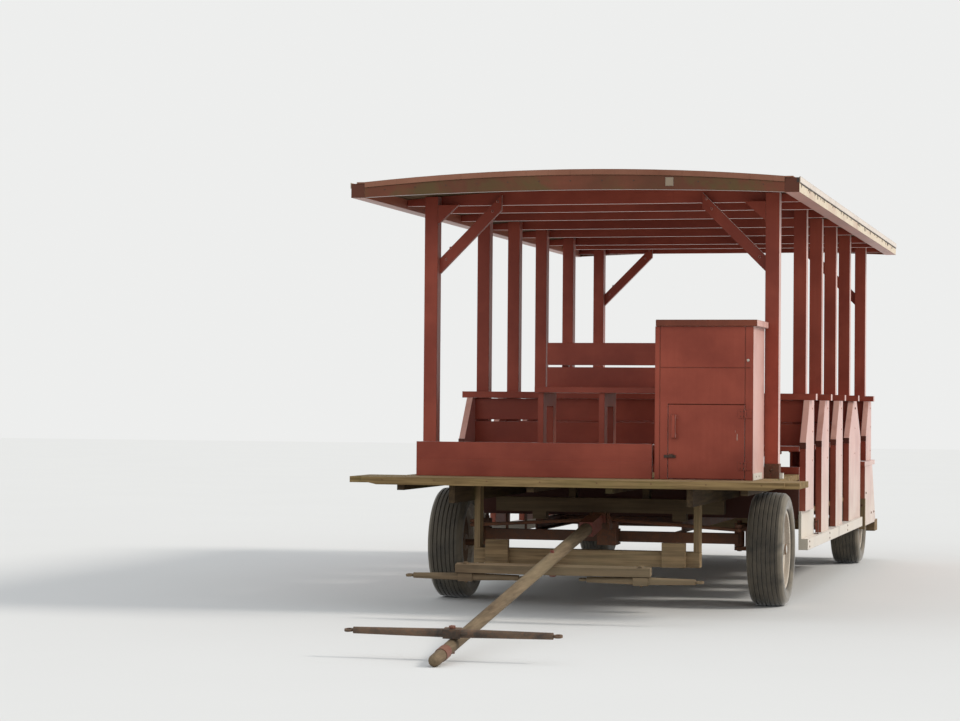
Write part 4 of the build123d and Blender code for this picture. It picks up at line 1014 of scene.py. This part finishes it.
@dataclass
class TimberFixings:
    """Bolts, nails and screws that hold the wagon's timber."""

    places: Places
    panel_out_x: float = 1.224
    bench_bolt_back: float = 0.044
    bench_bolt_zs: Run = (0.94, 1.14, 1.3)
    bare_from_z: float = 1.2
    post_out_x: float = 1.181
    post_w: float = 0.089
    brace_t: float = 0.038
    brace_bolt_places: Pairs = (
        (0.045, 2.275), (0.075, 2.35), (0.36, 2.59), (0.395, 2.655),
    )
    board_gap: float = 0.005
    edge_board_t: float = 0.0383
    deck_boards: int = 13
    deck_nail_xs: Run = (0.25, 0.754, 1.09)
    deck_nail_runs: Run = (0.035, 0.105)
    edge_nail_xs: Run = (0.18, 0.52, 0.86, 1.2)
    edge_nail_z: float = 0.832
    floor_boards: int = 17
    floor_nail_runs: Run = (0.03, 0.104)
    joist_stations: Run = (1.14, 1.73, 2.33, 2.93, 3.53, 4.13, 4.73)
    strap_stations: Run = (1.14, 2.33, 3.53)
    sill_out_x: float = 1.2453
    sill_bolt_zs: Run = (0.357, 0.392)
    guard_out_x: float = 1.25
    guard_bolt_places: Pairs = ((4.86, 0.6), (5.3, 0.42), (5.52, 0.42))
    end_block: Pair = (1.225, 4.784)
    block_bolt_zs: Run = (0.36, 0.5)
    fascia_z: float = 2.655
    fascia_half: float = 1.33
    fascia_rise: float = 0.061
    fascia_nails_aside: int = 6
    fascia_nail_pitch: float = 0.2
    fascia_nail_rise: float = 0.75

    def bolts(self) -> None:
        """Set the bolt heads of the bench ends and of the sloping braces."""
        painted, bare = [], []
        for number, station in enumerate(self.places.stations[1:], start=1):
            y = self.places.y(station + self.bench_bolt_back)
            for z in self.bench_bolt_zs:
                for side in Side:
                    heads = bare if number == DOUBLE_BENCH and z > self.bare_from_z else painted
                    heads.append(((side * self.panel_out_x, y, z), side.outwards))
        for name, radius, height, points, finish, seed in (
            ("bench_bolts", 0.008, 0.004, painted, "bench_ends", 11),
            ("bench_bolts_bare", 0.011, 0.006, bare, "iron", 12),
        ):
            Fasteners(name, HeadShape.ROUND, radius, height, points).fix(finish, seed)
        inner = self.post_out_x - self.post_w
        Fasteners("brace_bolts", HeadShape.ROUND, 0.009, 0.006, [
            ((side * (inner - run), self.places.y(station + self.post_w - self.brace_t), z), FORWARDS)
            for station in (self.places.stations[0], self.places.stations[-1])
            for side in Side for run, z in self.brace_bolt_places
        ]).fix("red_z", 13)

    def nails(self) -> None:
        """Set the nail heads of the deck, over its beams, and of the low floor, over its joists."""
        low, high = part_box("deck_planks")
        start = low[1] + self.edge_board_t
        pitch = (high[1] - start + self.board_gap) / self.deck_boards
        points = [
            ((side * x, start + number * pitch + near, high[2]), UPWARDS)
            for number in range(self.deck_boards) for near in self.deck_nail_runs
            for x in self.deck_nail_xs for side in Side
        ]
        points += [
            ((side * x, low[1], self.edge_nail_z), FORWARDS) for x in self.edge_nail_xs for side in Side
        ]
        Fasteners("deck_nails", HeadShape.NAIL, 0.004, 0.0012, points).fix("rusty", 14)
        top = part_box("floor_planks")[1][2]
        pitch = (2 * self.post_out_x + self.board_gap) / self.floor_boards
        Fasteners("floor_nails", HeadShape.NAIL, 0.004, 0.0012, [
            ((number * pitch + near - self.post_out_x, self.places.y(station), top), UPWARDS)
            for station in self.joist_stations for number in range(self.floor_boards)
            for near in self.floor_nail_runs
        ]).fix("rusty", 15)

    def low_bolts(self) -> None:
        """Set the bolt heads of the step boards, at each strap, and of the wheel guards."""
        Fasteners("sill_bolts", HeadShape.ROUND, 0.008, 0.004, [
            ((side * self.sill_out_x, self.places.y(station), z), side.outwards)
            for station in self.strap_stations for side in Side for z in self.sill_bolt_zs
        ]).fix("rusty", 16)
        points = []
        for side in Side:
            for station, z in self.guard_bolt_places:
                points.append(((side * self.guard_out_x, self.places.y(station), z), side.outwards))
            for z in self.block_bolt_zs:
                points.append(((side * self.end_block[0], self.places.y(self.end_block[1]), z), FORWARDS))
        Fasteners("guard_bolts", HeadShape.ROUND, 0.011, 0.006, points).fix("rusty", 17)

    def fascia_nails(self) -> None:
        """Set the nail heads along both arched fascias."""
        low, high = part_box("roof_fascias")
        points = []
        for face, facing in ((low[1], FORWARDS), (high[1], REARWARDS)):
            for number in range(-self.fascia_nails_aside, self.fascia_nails_aside + 1):
                x = number * self.fascia_nail_pitch
                rise = self.fascia_rise * (1 - (x / self.fascia_half) ** 2)
                points.append(((x, face, self.fascia_z + rise * self.fascia_nail_rise), facing))
        Fasteners("fascia_nails", HeadShape.NAIL, 0.0045, 0.0015, points).fix("iron", 19)

    def build(self) -> None:
        """Set every kind of fixing."""
        self.bolts()
        self.nails()
        self.low_bolts()
        self.fascia_nails()


@dataclass
class EaveTrim:
    """Pale roof edge and a dripping tar line along both eaves."""

    edge_h: float = 0.030
    edge_up: float = 0.006
    edge_t: float = 0.005
    tar_t: float = 0.0022
    start: float = 0.01
    step: float = 0.045
    run_share: Pair = (0.4, 1.0)
    run_drop: Pair = (0.004, 0.009)
    drip_share: float = 0.12
    drip_w: float = 0.008
    drip_drop: Pair = (0.018, 0.036)
    seed: int = 5

    def build(self) -> None:
        """Build the edge strips and the tar line, one piece each."""
        low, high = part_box("eave_beams")
        chance = random.Random(self.seed)
        edge = Piece("roof_edges", "wagon", "red_wood", "edge_strip")
        tar = Piece("tar_lines", "wagon", "red_wood", "tar")
        top = high[2] - self.edge_h
        for side in Side:
            face = side * (high[0] + HAIR)
            edge.block((face, low[1], top), (face + side * self.edge_t, high[1], high[2] + self.edge_up))
            y = low[1] + self.start
            while y < high[1] - self.step:
                length = chance.uniform(*self.run_share) * self.step
                drop = chance.uniform(*self.run_drop)
                if chance.random() < self.drip_share:
                    length, drop = self.drip_w, chance.uniform(*self.drip_drop)
                tar.block((face, y, top - drop), (face + side * self.tar_t, y + length - SKIN, top - SKIN))
                y += length
        tar.block(
            (high[0] - 0.016, low[1] - self.tar_t, high[2] - self.edge_h),
            (high[0] - 0.002, low[1] - HAIR, high[2] - 0.004),
        )
        edge.done()
        tar.done()


@dataclass
class CupboardTrim:
    """The cupboard's lid, pull, hasp and small fittings."""

    lid_shift: float = 0.026
    lid_ease: float = 0.002
    foot: Pair = (1.1876, -0.93)
    hasp_out: float = 0.026
    pull_plate_zs: Run = (1.106, 1.229)
    case_head_z: float = 1.599
    shoe_bolt: Pair = (1.1365, 0.905)

    def lid(self) -> None:
        """Build the lid a little to the right of the case, with eased edges."""
        low, high = (Vector(corner) + Vector((self.lid_shift, 0.0, 0.0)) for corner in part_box("cupboard_lid"))
        piece = Piece("eased_lid", "wagon", "red_wood", "lid")
        piece.block(low, high)
        bmesh.ops.recalc_face_normals(piece.mesh, faces=piece.mesh.faces)
        edges = list(piece.mesh.edges)
        bmesh.ops.bevel(piece.mesh, geom=edges, offset=self.lid_ease, segments=2, affect="EDGES")
        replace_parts(piece.done(), "cupboard_lid")

    def fittings(self) -> None:
        """Build the angle, the foot block, the hasp, the pull's plates and the scratch."""
        case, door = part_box("cupboard_case"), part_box("cupboard_door")
        (_, y, z), side, face = case[0], case[1][0] + SKIN, door[0][1]
        x0, y0 = self.foot
        for name, body, slot, finish, blocks in (
            ("base_angle", "wagon", "galvanised", "pale", [
                ((side, y + 0.004, z + 0.0005), (side + 0.003, y + 0.39, z + 0.044)),
                ((x0, y0, z), (x0 + 0.022, y0 + 0.05, z + 0.036)),
            ]),
            ("door_hasp", "cupboard_door", "galvanised", "iron", [
                ((door[0][0] - self.hasp_out, face - 0.011, 0.986), (0.606, face - 0.0055, 1.004)),
                ((0.566, face - 0.022, 0.9905), (0.590, face - 0.0166, 1.0095)),
            ]),
            ("pull_plates", "cupboard_door", "galvanised", "fittings", [
                *(((0.572, face - 0.0085, up), (0.618, face - 0.0056, up + 0.027))
                  for up in self.pull_plate_zs),
                ((0.5855, face - 0.0445, 1.112), (0.6045, face - 0.0425, 1.255)),
            ]),
            ("door_scratch", "cupboard_door", "red_wood", "pale", [
                ((0.9905, face - 0.0006, 1.100), (0.9932, face - HAIR, 1.140)),
                ((0.9800, face - 0.0005, 1.150), (0.9812, face - HAIR, 1.162)),
            ]),
        ):
            piece = Piece(name, body, slot, finish)
            for low, high in blocks:
                piece.block(low, high)
            piece.done()

    def heads(self) -> None:
        """Set the heads on the case, its angle and the post shoes."""
        (_, y, z), (x, _, _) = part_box("cupboard_case")
        shoe_x, shoe_z = self.shoe_bolt
        shoe_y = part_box("post_shoes")[0][1]
        for name, radius, height, points, *fixing in (
            ("case_head", 0.0095, 0.005, [
                ((x - 0.033, y, self.case_head_z), FORWARDS)
            ], "pale", 18, "wagon", "galvanised"),
            ("angle_screws", 0.006, 0.0022, [
                ((x + 0.0033, y + ahead, z + 0.021), Side.RIGHT.outwards) for ahead in (0.13, 0.25)
            ], "iron", 20, "wagon", "galvanised"),
            ("shoe_bolts", 0.011, 0.007, [
                ((side * shoe_x, shoe_y, shoe_z), FORWARDS) for side in Side
            ], "rusty", 22),
        ):
            Fasteners(name, HeadShape.ROUND, radius, height, points).fix(*fixing)

    def build(self) -> None:
        """Build the lid, the fittings and the heads."""
        self.lid()
        self.fittings()
        self.heads()


@dataclass
class BodyTrim:
    """Bearers' end grain, the plate on the fascia, the step boards' joint and the bracket above one."""

    places: Places
    bearer_ahead: float = 0.321
    double_ahead: float = 0.3915
    bearer_xs: Pair = (1.1815, 1.226)
    bearer_zs: Pair = (1.025, 1.067)
    plate_x: float = 0.597
    plate_z: float = 2.660
    plate_w: float = 0.050
    plate_h: float = 0.054
    joint_s: float = 2.93
    joint_w: float = 0.006
    joint_t: float = 0.0008
    bracket_s: float = 1.72

    def bearer_ends(self) -> None:
        """Cap the front end of every bearer with dark end grain."""
        piece = Piece("bearer_ends", "wagon", "red_wood", "cap_end")
        (near, far), (low, high) = self.bearer_xs, self.bearer_zs
        for number, station in enumerate(self.places.stations[1:], start=1):
            front = self.places.y(station)
            front -= self.double_ahead if number == DOUBLE_BENCH else self.bearer_ahead
            for side in Side:
                piece.block((side * near, front - 0.004, low), (side * far, front - SKIN, high))
        piece.done()

    def plate(self) -> None:
        """Build the small blank plate on the front fascia."""
        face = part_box("roof_fascias")[0][1]
        piece = Piece("fascia_plate", "wagon", "galvanised", "edge_strip")
        high = (self.plate_x + self.plate_w, face - SKIN, self.plate_z + self.plate_h)
        piece.block((self.plate_x, face - 0.003, self.plate_z), high)
        piece.done()

    def sill(self) -> None:
        """Mark the dark butt joint in both step boards, and build the bracket on the right one."""
        low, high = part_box("side_sills")
        joint = Piece("sill_joints", "wagon", "pale_paint", "tar")
        y = self.places.y(self.joint_s)
        for side in Side:
            face = side * (high[0] + HAIR)
            joint.block((face, y, low[2] + 0.001), (face + side * self.joint_t, y + self.joint_w, high[2]))
        joint.done()
        bracket = Piece("sill_bracket", "wagon", "rusty_steel", "rusty")
        y, z = self.places.y(self.bracket_s), high[2]
        for x0, x1, depth, z0, z1 in (
            (1.2285, 1.2345, 0.018, SKIN, 0.104), (1.2055, 1.2280, 0.018, SKIN, 0.006),
            (1.2085, 1.2280, 0.012, 0.082, 0.094), (1.2055, 1.2120, 0.012, 0.052, 0.0815),
        ):
            bracket.block((x0, y, z + z0), (x1, y + depth, z + z1))
        bracket.done()

    def build(self) -> None:
        """Build every piece."""
        self.bearer_ends()
        self.plate()
        self.sill()


@dataclass
class DoorFixings:
    """Screw heads on the hinge leaves of the cupboard's door."""

    leaf_x: float = 1.0
    leaf_t: float = 0.0033
    leaf_zs: Run = (0.912, 1.237)

    def build(self) -> None:
        """Set the heads."""
        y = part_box("cupboard_door")[0][1] - self.leaf_t
        Fasteners("door_screws", HeadShape.ROUND, 0.0035, 0.0018, [
            ((self.leaf_x + across, y, base + up), FORWARDS)
            for base in self.leaf_zs for up in (0.012, 0.042) for across in (0.014, 0.032)
        ]).fix("iron", 21, "cupboard_door", "galvanised")


@dataclass
class Studio:
    """Pale floor, soft light and the camera."""

    places: Places
    floor_half: float = 60.0
    floor_tint: Colour = (0.66, 0.655, 0.64)
    backdrop: Colour = (0.85, 0.855, 0.848)
    sky: Colour = (0.92, 0.96, 1.0)
    sky_strength: float = 0.95
    key: float = 1.9
    key_spread: float = 14.0
    key_tint: Colour = (1.0, 0.95, 0.88)
    key_from: Point = (0.78, 0.12, 0.62)
    lens_px: float = 2500.07
    frame_px: float = 960.0
    sensor_mm: float = 36.0
    camera_x: float = 3.3517
    camera_s: float = -15.9821
    camera_z: float = 1.3257
    yaw: float = 0.2539
    pitch: float = 0.01663
    roll: float = 0.0080

    def floor(self) -> None:
        """Lay the pale floor."""
        mesh = bpy.data.meshes.new("studio_floor")
        h = self.floor_half
        mesh.from_pydata([(-h, -h, 0), (h, -h, 0), (h, h, 0), (-h, h, 0)], [], [(0, 1, 2, 3)])
        floor = bpy.data.objects.new("studio_floor", mesh)
        bpy.context.scene.collection.objects.link(floor)
        paint = Shader("floor paint")
        darker = tuple(v * 0.97 for v in self.floor_tint)
        tone = paint.mix(paint.noise(0.6, 3.0, 0.5), self.floor_tint, darker)
        mesh.materials.append(paint.finish(tone, 0.9, Specular_IOR_Level=0.0))

    def world(self) -> None:
        """Light the scene evenly from all round, with a pale backdrop for the camera."""
        world = bpy.data.worlds.new("studio")
        bpy.context.scene.world = world
        world.use_nodes = True
        graph = Graph(world.node_tree)
        soft, plain = (
            graph.node("ShaderNodeBackground", None, tint, strength).outputs[0]
            for tint, strength in ((self.sky, self.sky_strength), (self.backdrop, 1.0))
        )
        path = graph.node("ShaderNodeLightPath").outputs
        camera, glossy, through = (
            Wire(graph, path[f"Is {kind} Ray"]) for kind in ("Camera", "Glossy", "Transmission")
        )
        choose = graph.node("ShaderNodeMixShader", None, camera | glossy | through, soft, plain)
        graph.node("ShaderNodeOutputWorld", None, choose.outputs[0])

    def lights(self) -> None:
        """Hang one broad distant lamp, high to the right and a little behind."""
        light = bpy.data.lights.new("key", "SUN")
        light.energy = self.key
        light.angle = math.radians(self.key_spread)
        light.color = self.key_tint
        lamp = bpy.data.objects.new("key", light)
        lamp.matrix_world = Vector(self.key_from).to_track_quat("Z", "Y").to_matrix().to_4x4()
        bpy.context.scene.collection.objects.link(lamp)

    def camera(self) -> None:
        """Set the camera where the photograph was taken from."""
        data = bpy.data.cameras.new("camera")
        data.sensor_width = self.sensor_mm
        data.lens = self.lens_px / self.frame_px * self.sensor_mm
        data.clip_end = 200.0
        camera = bpy.data.objects.new("camera", data)
        stand = Matrix.Translation((self.camera_x, self.places.y(self.camera_s), self.camera_z))
        for angle, axis in ((self.yaw, "Z"), (math.pi / 2 + self.pitch, "X"), (self.roll, "Z")):
            stand = stand @ Matrix.Rotation(angle, 4, axis)
        camera.matrix_world = stand
        bpy.context.scene.collection.objects.link(camera)
        bpy.context.scene.camera = camera
        bpy.context.scene.view_settings.view_transform = "Standard"

    def build(self) -> None:
        """Set the whole studio."""
        self.floor()
        self.world()
        self.lights()
        self.camera()


WHEELS = ("front_left", "front_right", "rear_left", "rear_right")
COATS = {
    "shaded_steel": "frame_rails",
    "red_steel": "pole_irons",
    "bare_x": "floor_joists hanging_step rear_step",
    "bare_y": "floor_planks rear_step_arms",
    "bare_z": "step_hangers guard_blocks",
    "deck": "deck_planks",
    "under_x": "deck_stringers",
    "under_y": "deck_beams",
    "trestle": "trestle",
    "guard": "wheel_boxes wheel_guards",
    "pale": "side_sills front_skirts",
    "red_x": "front_bench toe_board",
    "red_z": "posts_left posts_right knee_braces cupboard_case cupboard_door",
    "lid": "cupboard_lid",
    "rafter": "rafters",
    "eave": "eave_beams",
    "fascia": "roof_fascias",
    "bulkhead": "bulkhead",
    "roof": "roof_deck",
    "rusty": "sill_straps post_shoes front_axle rear_axle knuckle_left knuckle_right "
             "tie_rod_left tie_rod_right tongue_base",
    "fittings": "hinge_leaves door_fittings",
    "pole": "pole",
    "bars": "evener swingletree_left swingletree_right",
    "iron": "neck_yoke",
    "bench_ends": " ".join(f"bench_{number}" for number in range(1, 6)),
    "rim": " ".join(f"wheel_{wheel}" for wheel in WHEELS),
    "rubber": " ".join(f"tyre_{wheel}" for wheel in WHEELS),
}


def main() -> None:
    """Load the model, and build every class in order."""
    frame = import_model()
    coats = {node: finish for finish, nodes in COATS.items() for node in nodes.split()}
    Dressing(coats).apply(frame["nodes"])
    hubs, places = [Hub.read(wheel) for wheel in WHEELS], Places.read()
    parts = [kind(hub) for hub in hubs for kind in (Tyre, Wheel, WheelTrim)]
    parts += [TimberFixings(places), EaveTrim(), CupboardTrim(), BodyTrim(places), DoorFixings()]
    for part in (*parts, Studio(places)):
        part.build()


if __name__ == "__main__":
    main()
